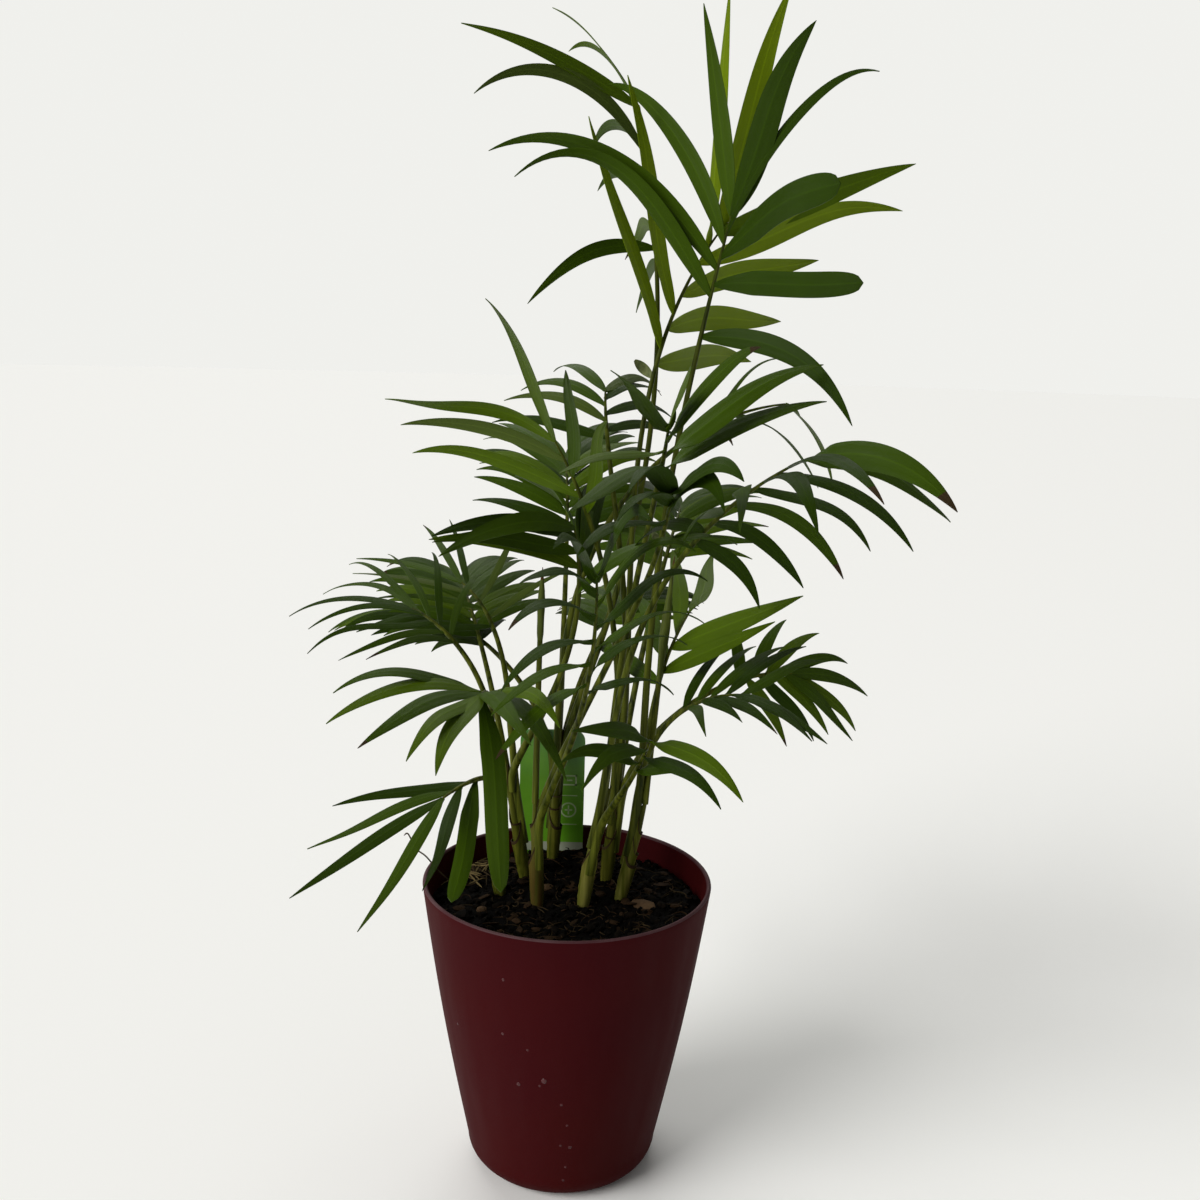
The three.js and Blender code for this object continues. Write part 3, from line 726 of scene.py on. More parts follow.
# ---- Canes -------------------------------------------------------------------------------
# Seven short green canes, each a bundle of rolled leaf sheaths on a ringed, drawn-in foot,
# fleshy and pale at the soil. A sheath parts from the bundle where its stalk leaves.

CANE_FOOT_RADIUS = 2.9
CANE_RADIUS = 3.6
CANE_TIP_RADIUS = 2.9
CANE_FOOT_HEIGHT = 16

# Foot on the soil, height, lean from vertical and its growth, towards a bearing.
CANE_WORDS = "foot height lean bend bearing".split()
CANE_SIZES = [
    ((-14, -10), 62, 2, 0, 180),
    ((8, -8), 62, 6, 10, 0),
    ((26, 1), 58, 12, 0, 0),
    ((-33, 3), 60, 6, 0, 180),
    ((-22, 24), 60, 10, 0, 180),
    ((-9, 48), 70, 4, 0, 60),
    ((19, 22), 70, 6, 0, 30),
]
CANES = [dict(zip(CANE_WORDS, sizes)) for sizes in CANE_SIZES]


def heading(lean, bearing, roll=0.0):
    """Direction of growth, with the level direction across it and its upper face."""
    a, b, r = radians(lean), radians(bearing), radians(roll)
    along = Vector((sin(a) * cos(b), sin(a) * sin(b), cos(a)))
    upper = Vector((-cos(a) * cos(b), -cos(a) * sin(b), sin(a)))
    level = along.cross(upper)
    side = level * cos(r) + upper * sin(r)
    up = upper * cos(r) - level * sin(r)
    return along, side, up


ARC_STEPS = 40


def arc_of(start, bearing, lean, bend, length, swing=0.0, roll=0.0, power=1.5):
    """A limb's middle line in millimetres: a function of the share of its length."""

    def turned_at(share):
        return heading(lean + bend * share**power, bearing + swing * share, roll)

    line = [Vector(start)]
    for i in range(ARC_STEPS):
        line.append(line[i] + turned_at((i + 0.5) / ARC_STEPS)[0] * length / ARC_STEPS)

    def at(share):
        step = min(int(share * ARC_STEPS), ARC_STEPS - 1)
        return (line[step].lerp(line[step + 1], share * ARC_STEPS - step), *turned_at(share))

    return at


for cane in CANES:
    bow = {word: cane[word] for word in ("bearing", "lean", "bend")}
    cane["arc"] = arc_of((*cane["foot"], SOIL_TOP), length=cane["height"], power=1.0, **bow)


def cane_radius(cane, part):
    low = max(0.0, 1 - part * cane["height"] / CANE_FOOT_HEIGHT)
    straight = CANE_RADIUS + (CANE_TIP_RADIUS - CANE_RADIUS) * part
    return straight - (CANE_RADIUS - CANE_FOOT_RADIUS) * low**2


def ring_about(side, up, turns):
    """Directions away from a limb, at turns from its upper face."""
    return np.sin(turns)[:, None] * np.array(side) + np.cos(turns)[:, None] * np.array(up)


def tube(arc, shares, sides, radius):
    """Rings along an arc, in millimetres. radius(share, turn) is the distance from the
    middle line."""
    turns = even_turns(sides)
    rings = []
    for share in shares:
        at, _, side, up = arc(share)
        size = np.array([radius(share, turn) for turn in turns])[:, None]
        rings.append(np.array(at) + size * ring_about(side, up, turns))
    return rings


# Fronds as in the frame: the cane and the height up it, the arc of stalk and rib, the roll
# of the blade, then the leaflets: pairs below the end pair, length and width, how much
# shorter the lowest are, spread at foot and tip, lift out of the blade's plane, and droop.
FROND_WORDS = "cane up bearing swing lean bend stalk rib roll pairs leaf shorter spread lift droop".split()
FROND_SIZES = [
    # Top storey: two dark fronds with a pale young one between them.
    (3, 40, 42, -90, 0, 17, 227, 58, -80, 5, (100, 12), 0.0, (94, 35), 21, 0.15),
    (7, 60, 115, -90, -7, 45, 200, 72, 80, 4, (115, 13), 0.0, (66, 26), 6, 0.15),
    (6, 60, 15, 36, 22, -42, 253, 72, 66, 5, (96, 11), 0.2, (87, 35), 32, 0.9),
    # Middle storey, left to right.
    (7, 50, -140, -35, 0, 30, 140, 37, -30, 2, (100, 11), 0.0, (50, 45), -15, 0.55),
    (2, 55, -50, -40, 3, 55, 177, 30, -30, 3, (80, 11), 0.1, (70, 12), -12, 0.2),
    (6, 60, 15, -10, -2, 85, 180, 52, 60, 2, (70, 9), 0.3, (60, 50), 25, 0.9),
    (7, 60, 145, -55, -5, 57, 168, 32, -10, 3, (62, 8), 0.0, (60, 30), -15, 0.85),
    (2, 50, -70, 54, 8, 53, 147, 58, 20, 5, (82, 12), 0.4, (86, 40), -15, 1.25),
    (1, 50, -22, -68, 25, 25, 161, 37, -33, 3, (62, 12), 0.3, (90, 15), 3, 0.9),
    (1, 45, -58, -34, 39, -4, 98, 68, -30, 5, (58, 10), 0.15, (90, 16), 4, 1.1),
    (5, 55, -52, 79, 36, -50, 115, 22, 52, 3, (88, 11), 0.1, (55, 66), 16, 0.6),
    (3, 45, 84, -70, 5, 26, 64, 37, 0, 3, (75, 11), 0.0, (76, 45), -5, 0.4),
    # Lower storey.
    (3, 35, -48, 37, -3, 91, 71, 30, -16, 4, (52, 7), 0.0, (62, 40), 16, 0.6),
    (2, 45, -69, -12, 51, -3, 63, 32, 14, 2, (54, 11), 0.1, (67, 43), -15, 1.1),
    (4, 45, -82, -13, 5, 85, 83, 18, 0, 4, (74, 11), 0.0, (66, 12), 24, 0.8),
    (4, 50, -167, -43, -7, 82, 80, 28, 20, 4, (64, 8), 0.2, (64, 12), 12, 0.8),
    (5, 50, 109, 27, -4, 74, 81, 32, 20, 3, (68, 8), 0.3, (79, 15), 5, 0.4),
    (4, 30, -64, -70, 25, 87, 72, 22, 4, 2, (72, 10), 0.2, (51, 16), -15, 0.1),
    (7, 50, -17, 41, 28, 72, 84, 28, -68, 4, (54, 9), 0.3, (70, 15), -15, 0.7),
    # Far side of the clump.
    (6, 55, 85, 10, 6, 60, 120, 58, 0, 5, (70, 10), 0.3, (70, 30), 10, 0.6),
    (5, 45, 125, -20, 20, 60, 85, 50, 0, 4, (64, 10), 0.3, (70, 30), 10, 0.6),
    (7, 45, 60, 20, 15, 60, 125, 55, 0, 4, (68, 10), 0.3, (70, 30), 10, 0.6),
    (6, 60, 60, 10, 30, 60, 75, 40, 0, 4, (56, 9), 0.3, (70, 30), 10, 0.7),
    (6, 55, 145, 10, 30, 60, 72, 42, 0, 4, (56, 9), 0.3, (70, 30), 10, 0.7),
]
FRONDS = [dict(zip(FROND_WORDS, sizes)) for sizes in FROND_SIZES]

for frond in FRONDS:
    cane = CANES[frond["cane"] - 1]
    frond["cane"] = cane
    frond["start"] = cane["arc"](frond["up"] / cane["height"])[0]
    frond["whole"] = frond["stalk"] + frond["rib"]
    bow = {word: frond[word] for word in ("bearing", "lean", "bend", "swing", "roll")}
    frond["arc"] = arc_of(frond["start"], length=frond["whole"], **bow)

LOWEST_MOUTH = 14
CORE_RADIUS = 1.7
SHEATH_WALL = 0.4
SHEATH_ROWS = 16
SHEATH_SIDES = 30
MOUTH_SLANT = 13
MOUTH_FLARE = 0.8
FLUTES = 15
FLUTE_HEIGHT = 0.05
RING_SCARS = (4, 9)
SCAR_HEIGHT = 0.25
SCAR_WIDTH = 0.7
STALK_SUNK = 0.9
LEAVES_CANE_BY = 30

for cane in CANES:
    own = [frond for frond in FRONDS if frond["cane"] is cane]
    own.sort(key=lambda frond: frond["stalk"])
    cane["sheaths"] = own
    cane["step"] = (CANE_RADIUS - CORE_RADIUS) / len(own)
    for rank, frond in enumerate(own):
        frond["mouth"] = LOWEST_MOUTH + (frond["up"] - LOWEST_MOUTH) * (rank + 0.5) / len(own)
        frond["offset"] = CANE_RADIUS - rank * cane["step"] - STALK_SUNK
        at, along, _, _ = cane["arc"](frond["up"] / cane["height"])
        leaving = frond["arc"](LEAVES_CANE_BY / frond["whole"])[0] - at
        frond["out"] = (leaving - along * leaving.dot(along)).normalized()


def sheath_shape(cane, rank, slots):
    """A rolled leaf foot: a tube whose mouth slants up to the side its stalk leaves on."""
    frond = cane["sheaths"][rank]
    tall = cane["height"]
    bottom = cane["sheaths"][rank - 1]["mouth"] - 5 if rank else -6
    _, _, side, up = cane["arc"](frond["up"] / tall)
    rings = []
    for k in [*range(SHEATH_ROWS + 1), *range(SHEATH_ROWS, -1, -1)]:
        part = k / SHEATH_ROWS
        inner = len(rings) > SHEATH_ROWS
        ring = []
        for turn in even_turns(SHEATH_SIDES):
            outwards = side * sin(turn) + up * cos(turn)
            near = (1 + outwards.dot(frond["out"])) / 2
            height = bottom + (frond["mouth"] + MOUTH_SLANT * near**2.5 - bottom) * part
            share = height / tall
            middle = cane["arc"](min(max(share, 0.0), 1.0))[0] + Vector((0, 0, min(height, 0.0)))
            size = cane_radius(cane, max(share, 0.0)) - rank * cane["step"]
            size += (1.0 - near) * MOUTH_FLARE * part**6 + FLUTE_HEIGHT * sin(FLUTES * turn)
            for scar in RING_SCARS:
                size += SCAR_HEIGHT * exp(-(((height - scar) / SCAR_WIDTH) ** 2))
            ring.append((middle + outwards * (size - inner * SHEATH_WALL))[:])
        rings.append(ring)
    parts = np.full((len(rings), SHEATH_SIDES), slots[0])
    parts[SHEATH_ROWS - 1:SHEATH_ROWS + 1] = slots[1]
    return grid_patch(np.array(rings) * MM, closed=True, looped=True, slot=parts)


def core_shape(cane):
    """The youngest sheath, still closed, that narrows to a point in the middle."""
    bottom = cane["sheaths"][-1]["mouth"] - 6

    def radius(share, turn):
        part = max(0.0, (share * cane["height"] - bottom) / (cane["height"] - bottom))
        return (CORE_RADIUS - 0.1) * (1 - part**1.5) + 0.35

    first = bottom / cane["height"]
    shares = [first + (1 - first) * i / 16 for i in range(17)]
    return closed_shape(tube(cane["arc"], shares, 16, radius))


STREAK_SHADE = 0.4


def grown_green(name, low, high, blush, heights, roughness=0.42):
    """Green skin that changes from low to high with height, with soft stains, darker streaks
    along it and a relief of fibres."""
    made, tree, shader = new_material(name, high, roughness, 0.06)
    streak = [value * STREAK_SHADE for value in high]
    rise = mixed(tree, height_share(tree, *heights), low, high)
    paint = uneven(tree, 85.0, 0.42, (1.5, 1.5, 0.3), (rise, blush))["Colour"]
    fibres = uneven(tree, 900.0, 0.5, (1, 1, 0.04))["Mask"]
    streaks = uneven(tree, 420.0, 0.16, (1, 1, 0.05), (paint, streak))["Colour"]
    set_inputs(shader, {"Base Color": streaks, "Normal": bumped(tree, fibres, 0.00012)})
    return made


SHEATH_SHADES = [
    ("sheath green", (0.175, 0.18, 0.022), (0.08, 0.1, 0.007), (0.05, 0.044, 0.006), (SOIL_TOP, 200)),
    ("sheath pale", (0.32, 0.325, 0.075), (0.165, 0.19, 0.017), (0.085, 0.062, 0.012), (SOIL_TOP, 190)),
    ("sheath reddish", (0.12, 0.046, 0.016), (0.13, 0.14, 0.02), (0.05, 0.026, 0.008), (SOIL_TOP, 166)),
]
cane_materials = [grown_green(*looks) for looks in SHEATH_SHADES]
EDGE_SLOT = len(cane_materials)
cane_materials.append(
    earthy_material("sheath edge", (0.024, 0.012, 0.007), (0.05, 0.036, 0.014), 200, 900, 0.0001, 0.6)
)
CANE_SHADES = (2, 1, 1, 0, 0, 0, 0)
bundles = []
for cane, shade in zip(CANES, CANE_SHADES):
    bundles.append(core_shape(cane))
    bundles += [sheath_shape(cane, rank, (shade, EDGE_SLOT)) for rank in range(len(cane["sheaths"]))]
cane_names = [f"cane_{number}" for number in range(1, len(CANES) + 1)]
new_piece("canes", bundles, cane_materials, "cane", cane_names)


# ---- Stalks and ribs ---------------------------------------------------------------------
# A frond's stalk and rib are one tough green rod, grooved on its upper side and thickened
# where it leaves its sheath. It is pale low down and darkens towards the blade.

STALK_FOOT_RADIUS = 2.1
STALK_TIP_RADIUS = 1.15
RIB_TIP_RADIUS = 0.5
GROOVE_DEPTH = 0.2
GROOVE_WIDTH = radians(26)
STALK_SIDES = 14
STALK_STEP = 3.0
JOINS_ARC_BY = 36
SMOOTHED_STEPS = 9
SMOOTHINGS = 12


def stalk_line(frond):
    """Places up a stalk in millimetres, from the mouth of its sheath along the bundle's
    side and out along its own arc, with each place's share of the arc."""
    cane = frond["cane"]
    beside = frond["out"] * frond["offset"]
    places, shares = [], []
    for height in np.arange(frond["mouth"] - 2, frond["up"] - 1, STALK_STEP):
        places.append((cane["arc"](height / cane["height"])[0] + beside)[:])
        shares.append(0.0)
    last = len(places) + SMOOTHED_STEPS
    rows = ceil(frond["whole"] / STALK_STEP)
    for i in range(rows + 1):
        share = i / rows
        joined = min(1.0, share * frond["whole"] / JOINS_ARC_BY)
        joined = joined * joined * (3 - 2 * joined)
        places.append((frond["arc"](share)[0] + beside * (1 - joined))[:])
        shares.append(share)
    line = np.array(places)
    for _ in range(SMOOTHINGS):
        line[1:last] = (line[:last - 1] + 2 * line[1:last] + line[2:last + 1]) / 4
    return line, shares


def stalk_shape(frond):
    line, shares = stalk_line(frond)
    neck = frond["stalk"] / frond["whole"]
    turns = even_turns(STALK_SIDES)
    groove = GROOVE_DEPTH * np.exp(-((np.minimum(turns, 2 * pi - turns) / GROOVE_WIDTH) ** 2))
    rings = []
    for at, ahead, share in zip(line, np.gradient(line, axis=0), shares):
        ahead = Vector(ahead).normalized()
        side = frond["arc"](max(share, JOINS_ARC_BY / 2 / frond["whole"]))[2]
        side = (side - ahead * side.dot(ahead)).normalized()
        if share < neck:
            size = STALK_FOOT_RADIUS + (STALK_TIP_RADIUS - STALK_FOOT_RADIUS) * (share / neck) ** 0.7
        else:
            size = STALK_TIP_RADIUS + (RIB_TIP_RADIUS - STALK_TIP_RADIUS) * (share - neck) / (1 - neck)
        sizes = (size * (1 - groove))[:, None]
        rings.append(at + sizes * ring_about(side, side.cross(ahead), turns))
    return closed_shape(rings)


stalk_green = grown_green(
    "stalk green", (0.15, 0.172, 0.018), (0.04, 0.058, 0.004), (0.06, 0.066, 0.006), (170, 400)
)
stalk_names = [f"stalk_{number:02d}" for number in range(1, len(FRONDS) + 1)]
stalks = [stalk_shape(frond) for frond in FRONDS]
new_piece("stalks_and_ribs", stalks, [stalk_green], "stalk", stalk_names)


# ---- Leaflets ----------------------------------------------------------------------------
# Long narrow leaflets, folded slightly down from the midrib, with a short thick foot and a
# fine drooping point. The youngest frond is thin and pale, and older ones are dark and firm.

# Leaflets that stand out from their frond's rule: pair, hand, spread, lift, length, droop.
OWN_LEAFLETS = {
    1: [
        (0, 1, 73, -4, 89, 1.51), (2, -1, 42, 38, 115, 1.28), (2, 1, 75, 14, 102, 0.12),
        (3, -1, 49, 38, 125, 1.18), (3, 1, 54, 17, 92, 0.33), (4, -1, 47, 8, 111, 0.78),
        (4, 1, 24, 17, 117, 1.01), (5, -1, 34, 3, 96, 0.07), (5, 1, 26, 29, 98, 0.47),
    ],
    2: [(0, 1, 48, 15, 110, 0), (3, -1, 34, -19, 124, 0.33), (4, -1, 26, -24, 113, 0.28)],
    3: [(3, 1, 33, 46, 105, 1.28), (5, -1, 51, 35, 94, 0.47), (5, 1, 50, 27, 95, 0.28)],
    5: [
        (0, -1, 75, 2, 79, 0.51), (1, -1, 81, 9, 82, 0.37), (2, -1, 18, -10, 78, 0.5),
        (3, -1, 5, -6, 55, 0.32), (3, 1, 20, -8, 84, 0.1),
    ],
    6: [
        (0, -1, 46, 56, 52, 1.2), (0, 1, 36, 17, 55, 0.98), (1, -1, 38, 11, 71, 1.5),
        (2, -1, 51, 30, 73, 1.52),
    ],
    8: [(5, -1, 47, -12, 83, 0.94), (5, 1, 23, -44, 74, 1.36)],
    9: [(2, -1, 15, -2, 53, 1.63), (3, -1, 24, -28, 49, 1.07)],
    12: [(0, 1, 56, -6, 68, 0), (1, 1, 54, -2, 76, 0), (3, -1, 62, -16, 70, 0)],
    14: [
        (0, -1, 24, -11, 43, 0.61), (0, 1, 48, -2, 47, 0.92), (1, -1, 44, -24, 47, 1.07),
        (1, 1, 43, -26, 48, 1.32), (2, -1, 55, -19, 50, 1.04), (2, 1, 39, -14, 54, 0.62),
    ],
    15: [
        (1, -1, 43, -13, 68, 1.2), (1, 1, 55, 9, 74, 0.87), (2, 1, 33, 6, 74, 0.75),
        (4, -1, 37, -62, 88, 1.26), (4, 1, 5, 29, 68, 0.65),
    ],
    16: [(1, -1, 61, 4, 56, 0.6), (2, -1, 47, 2, 63, 0.9), (3, -1, 27, 13, 59, 1.16)],
    18: [(0, -1, 42, -54, 66, 0)],
}
LEAFLET_TURNS = (0, 12, -12, 24, -24, 36, -36)
TIP_PAIR_WIDENING = 1.1
CAD_STEPS = 20
BLADE_ROWS = 32
BLADE_COLUMNS = 13
BLADE_THICKNESS = 0.34
BLADE_FOLD = -0.12
FOOT_HALF_WIDTH = 1.0
POINT_HALF_WIDTH = 0.12
SAME_PLACE = 0.1


def random_from(seed):
    """The same repeatable numbers as the frame's own fronds grew by."""
    state = (seed * 2654435761 + 12345) % 4294967296

    def following():
        nonlocal state
        state = (state * 1664525 + 1013904223) % 4294967296
        return state / 4294967296

    for _ in range(3):
        following()
    return following


def leaflets_of(number):
    """The leaflets of a frond, pair by pair from its foot to the pair at its tip."""
    frond = FRONDS[number - 1]
    chance = random_from(number)
    own = {sizes[:2]: sizes[2:] for sizes in OWN_LEAFLETS.get(number, ())}
    leaflets = []
    for i in range(frond["pairs"] + 1):
        for hand in (-1, 1):
            last = i == frond["pairs"]
            part = 1.0 if last else (i + 0.22 * (hand + 1)) / frond["pairs"]
            foot_spread, tip_spread = frond["spread"]
            shortened = frond["leaf"][0] * (1 - frond["shorter"] * (1 - part) ** 1.3)
            grown = (
                foot_spread + (tip_spread - foot_spread) * part + 10 * (chance() - 0.5),
                frond["lift"] + 12 * (chance() - 0.5),
                shortened * (1 + 0.12 * (chance() - 0.5)),
                frond["droop"] * (0.8 + 0.4 * chance()),
            )
            leaflet = dict(zip(("spread", "lift", "length", "droop"), own.get((i, hand), grown)))
            leaflet |= {"pair": i, "hand": hand, "part": part}
            leaflet["width"] = frond["leaf"][1] * (TIP_PAIR_WIDENING if last else 1)
            leaflets.append(leaflet)
    return leaflets


def blade_path(frond, leaflet, turn, steps):
    """Places along a leaflet in millimetres, with the directions ahead, across and up."""
    share = (frond["stalk"] + frond["rib"] * leaflet["part"]) / frond["whole"]
    at, along, side, up = frond["arc"](share)
    spread, lift = radians(leaflet["spread"]), radians(leaflet["lift"] + turn)
    start = along * cos(spread) + side * leaflet["hand"] * sin(spread) * cos(lift)
    start += up * sin(spread) * sin(lift)
    across = start.cross(up).normalized()
    place = at.copy()
    path = []
    for i in range(steps + 1):
        ahead = start - Vector((0, 0, leaflet["droop"] * ((i + 0.5) / steps) ** 1.5))
        ahead.normalize()
        across = (across - ahead * across.dot(ahead)).normalized()
        path.append((place.copy(), ahead, across, across.cross(ahead)))
        place += ahead * leaflet["length"] / steps
    return path


def half_width(part, width, blunt):
    """Half the width at a share of the length: soon wide, then a long fine point, or for a
    blunt strap nearly even with a rounded end."""
    outline = 0.0
    if 0 < part < 1 and blunt:
        outline = min(1.0, part / 0.3) ** 0.6 * sqrt(1 - max(0.0, (part - 0.3) / 0.7) ** 7)
    elif 0 < part < 1:
        outline = sin(pi * part**0.75) ** 0.75 * (1.05 - 0.3 * part)
    foot = FOOT_HALF_WIDTH * max(0.0, 1 - part / 0.12)
    return max(width / 2 * outline, foot, POINT_HALF_WIDTH)


TO_LIGHT = Vector((-0.15, -0.85, 0.55)).normalized()
MOST_ROLL = radians(75)


def facing_light(place, share_turned):
    """How far a leaflet rolls about its midrib to bring its upper face to the light."""
    _, ahead, _, up = place
    wanted = (TO_LIGHT - ahead * TO_LIGHT.dot(ahead)).normalized()
    angle = atan2(up.cross(wanted).dot(ahead), up.dot(wanted))
    return max(-MOST_ROLL, min(MOST_ROLL, angle * share_turned))


TWIST_DEGREES = 14
SWAY_SHARE = 0.018
WAVE_SHARE = 0.008
LAPPING_SHARE = 0.010
PLEAT_SHARE = 0.016
GROOVE_ABOVE = 0.12
GROOVE_BELOW = 0.28


def blade_shape(path, length, width, blunt, share_turned, slots, chance):
    """One leaflet: pleated beside its midrib, twisted a little and swayed sideways."""
    twist = radians(chance.gauss(0, TWIST_DEGREES))
    faced = facing_light(path[BLADE_ROWS // 3], share_turned)
    sway = length * chance.gauss(0, SWAY_SHARE)
    wave = length * chance.gauss(0, WAVE_SHARE)
    lapping = length * chance.gauss(0, LAPPING_SHARE)
    across = np.linspace(-1, 1, BLADE_COLUMNS)
    rings, marks = [], []
    for i, (at, ahead, side, up) in enumerate(path):
        part = i / BLADE_ROWS
        rolled = Matrix.Rotation(faced * min(1.0, part * 6) + twist * part**1.3, 3, ahead)
        side, up = np.array(rolled @ side), np.array(rolled @ up)
        middle = np.array(at) + side * (sway * sin(pi * part) + wave * sin(2 * pi * part))
        middle += up * lapping * sin(2 * pi * part)
        half = half_width(part, width, blunt)
        offset = across * half
        groove = np.exp(-((offset / 0.5) ** 2))
        rise = BLADE_FOLD * np.abs(offset) + PLEAT_SHARE * half * np.cos(across * 3 * pi)
        thick = BLADE_THICKNESS * (1.6 - 1.0 * min(1.0, part * 5))
        level = middle + side * offset[:, None]
        top = level + up * (rise + thick / 2 - GROOVE_ABOVE * groove)[:, None]
        under = level + up * (rise - thick / 2 - GROOVE_BELOW * groove)[:, None]
        rings.append(np.vstack([top, under[::-1]]))
        place = np.stack([(across + 1) / 2, np.full(BLADE_COLUMNS, part)], 1)
        marks.append(np.vstack([place, place[::-1]]))
    slots = np.repeat(np.array(slots)[:, None], 2 * BLADE_COLUMNS, 1)
    return closed_shape(rings, slots, np.array(marks))


def leaf_veins_group():
    """Fine veins along a leaflet and its paler midrib, from the place across the blade."""
    inputs = [("Across", "Float", 0.5), ("Veins", "Float", 26.0)]
    outputs = [("Height", "Float"), ("Midrib", "Float"), ("Vein", "Float")]
    group, entry, leave = new_group("leaf veins", inputs, outputs)
    turn = calculated(group, "MULTIPLY", entry["Across"], entry["Veins"])
    wave = calculated(group, "COSINE", calculated(group, "MULTIPLY", turn, 2 * pi))
    vein = remapped(group, wave, 0.2, 1.0)
    from_middle = calculated(group, "SUBTRACT", entry["Across"], 0.5)
    midrib = remapped(group, calculated(group, "ABSOLUTE", from_middle), 0.055, 0.02)
    height = calculated(group, "ADD", vein, midrib)
    set_inputs(leave, {"Height": height, "Midrib": midrib, "Vein": vein})
    return group


LEAF_VEINS = leaf_veins_group()
SECOND_SHADE = 1.25
MIDRIB_SHADE = 1.4
VEIN_SHARE = 0.25


def leaf_material(name, colour, roughness):
    """Leaf skin in two shades, with fine veins and a paler midrib."""
    made, tree, shader = new_material(name, colour, roughness, 0.06)
    second = [value * SECOND_SHADE for value in colour]
    paler = [value * MIDRIB_SHADE for value in colour]
    across = add_node(tree, "ShaderNodeUVMap", uv_map="blade").outputs["UV"]
    across = add_node(tree, "ShaderNodeSeparateXYZ", {0: across}).outputs["X"]
    veins = add_node(tree, "ShaderNodeGroup", {"Across": across}, node_tree=LEAF_VEINS).outputs
    paint = uneven(tree, 45.0, colours=(colour, second))["Colour"]
    lined = calculated(tree, "MULTIPLY", veins["Vein"], VEIN_SHARE)
    streaked = mixed(tree, lined, paint, paler)
    ribbed = mixed(tree, veins["Midrib"], streaked, paler)
    set_inputs(shader, {"Base Color": ribbed, "Normal": bumped(tree, veins["Height"], 0.00005)})
    return made


LEAF_MATERIALS = [
    leaf_material("leaf dark", (0.017, 0.036, 0.0006), 0.40),
    leaf_material("leaf deep", (0.029, 0.057, 0.0008), 0.42),
    leaf_material("leaf green", (0.050, 0.087, 0.0012), 0.42),
    leaf_material("leaf young", (0.110, 0.165, 0.0012), 0.44),
    # The grey tint is partly the leaves' own dull grey-green and partly a painted sheen.
    leaf_material("leaf grey", (0.048, 0.072, 0.010), 0.46),
    leaf_material("leaf dry tip", (0.034, 0.022, 0.009), 0.60),
]
DARK, DEEP, GREEN, YOUNG, GREY, DRY = range(6)
FROND_TINTS = {
    1: (DEEP,), 2: (YOUNG, YOUNG, YOUNG, GREEN), 3: (GREY, GREEN, DEEP), 4: (GREEN, DEEP, GREY),
    5: (GREEN, DEEP), 7: (DARK, DEEP, GREY), 8: (DARK, DEEP), 9: (DARK, DEEP), 10: (DARK, DARK, DEEP),
    11: (DARK, DEEP, GREEN), 12: (GREEN, DEEP), 13: (DARK, DEEP), 15: (GREEN, DEEP),
    16: (DARK, DEEP), 17: (DARK, DEEP, GREY),
}
USUAL_TINTS = (DARK, DEEP, DEEP, GREEN)
DRY_SHARE = 0.12
SOUND_FRONDS = (1, 2)

# By frond and hand.
SHADED_HALVES = {(1, 1): DARK}

# How far leaflets roll to the light and how wide they are beside the frame's, by frond and
# for single leaflets by frond, pair and hand.
LIGHT_SHARES = {
    1: 0.15, 2: 0.1, 3: -0.1, 4: 0.0, 5: 0.8, 8: 0.1, 11: -0.1, 14: 0.8, 15: 0.5, 16: 0.1, 17: 0.1,
    (1, 5, 1): 1.0, (2, 3, 1): 1.0, (8, 5, -1): 1.0, (8, 5, 1): 1.0, (12, 1, 1): 1.0,
}
USUAL_LIGHT_SHARE = 0.6
WIDTH_SHARES = {
    1: 0.85, 2: 1.05, 3: 0.72, 4: 0.85, 8: 0.75, 13: 0.8, 14: 0.7, 16: 0.5, 17: 0.5, 18: 0.6,
    19: 0.75, (1, 4, 1): 0.45, (1, 5, 1): 1.1, (1, 3, 1): 1.1, (5, 0, -1): 1.0, (5, 1, -1): 1.15,
    (8, 5, -1): 1.1, (8, 5, 1): 1.1, (12, 1, 1): 1.15, (15, 4, -1): 0.8, (18, 0, -1): 0.8,
}
USUAL_WIDTH_SHARE = 0.85
BLUNT_LEAFLETS = {(1, 2, 1), (1, 3, 1), (15, 4, -1), (18, 0, -1)}

STOREYS = {
    "young": (2,), "top": (1, 3), "middle": range(4, 13), "lower": range(13, 20), "far": range(20, 25),
}


def packed_leaflets(number):
    """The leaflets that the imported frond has, each with its turn, found again by where
    their points lie. On a far frond one more grows between two neighbours of a hand."""
    frond = FRONDS[number - 1]
    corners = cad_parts[f"frond_{number:02d}"].data.vertices
    known = KDTree(len(corners))
    for corner in corners:
        known.insert(corner.co, corner.index)
    known.balance()
    found = {}
    for leaflet in leaflets_of(number):
        for turn in LEAFLET_TURNS:
            point = blade_path(frond, leaflet, turn, CAD_STEPS)[-1][0] * MM
            if known.find(point)[2] < SAME_PLACE * MM:
                found[leaflet["pair"], leaflet["hand"]] = leaflet | {"turn": turn}
                break
    leaflets = list(found.values())
    if number in STOREYS["far"]:
        for (pair, hand), leaflet in found.items():
            if (pair + 1, hand) in found:
                beyond = found[pair + 1, hand]
                leaflets.append({word: (leaflet[word] + beyond[word]) / 2 for word in leaflet})
    return leaflets


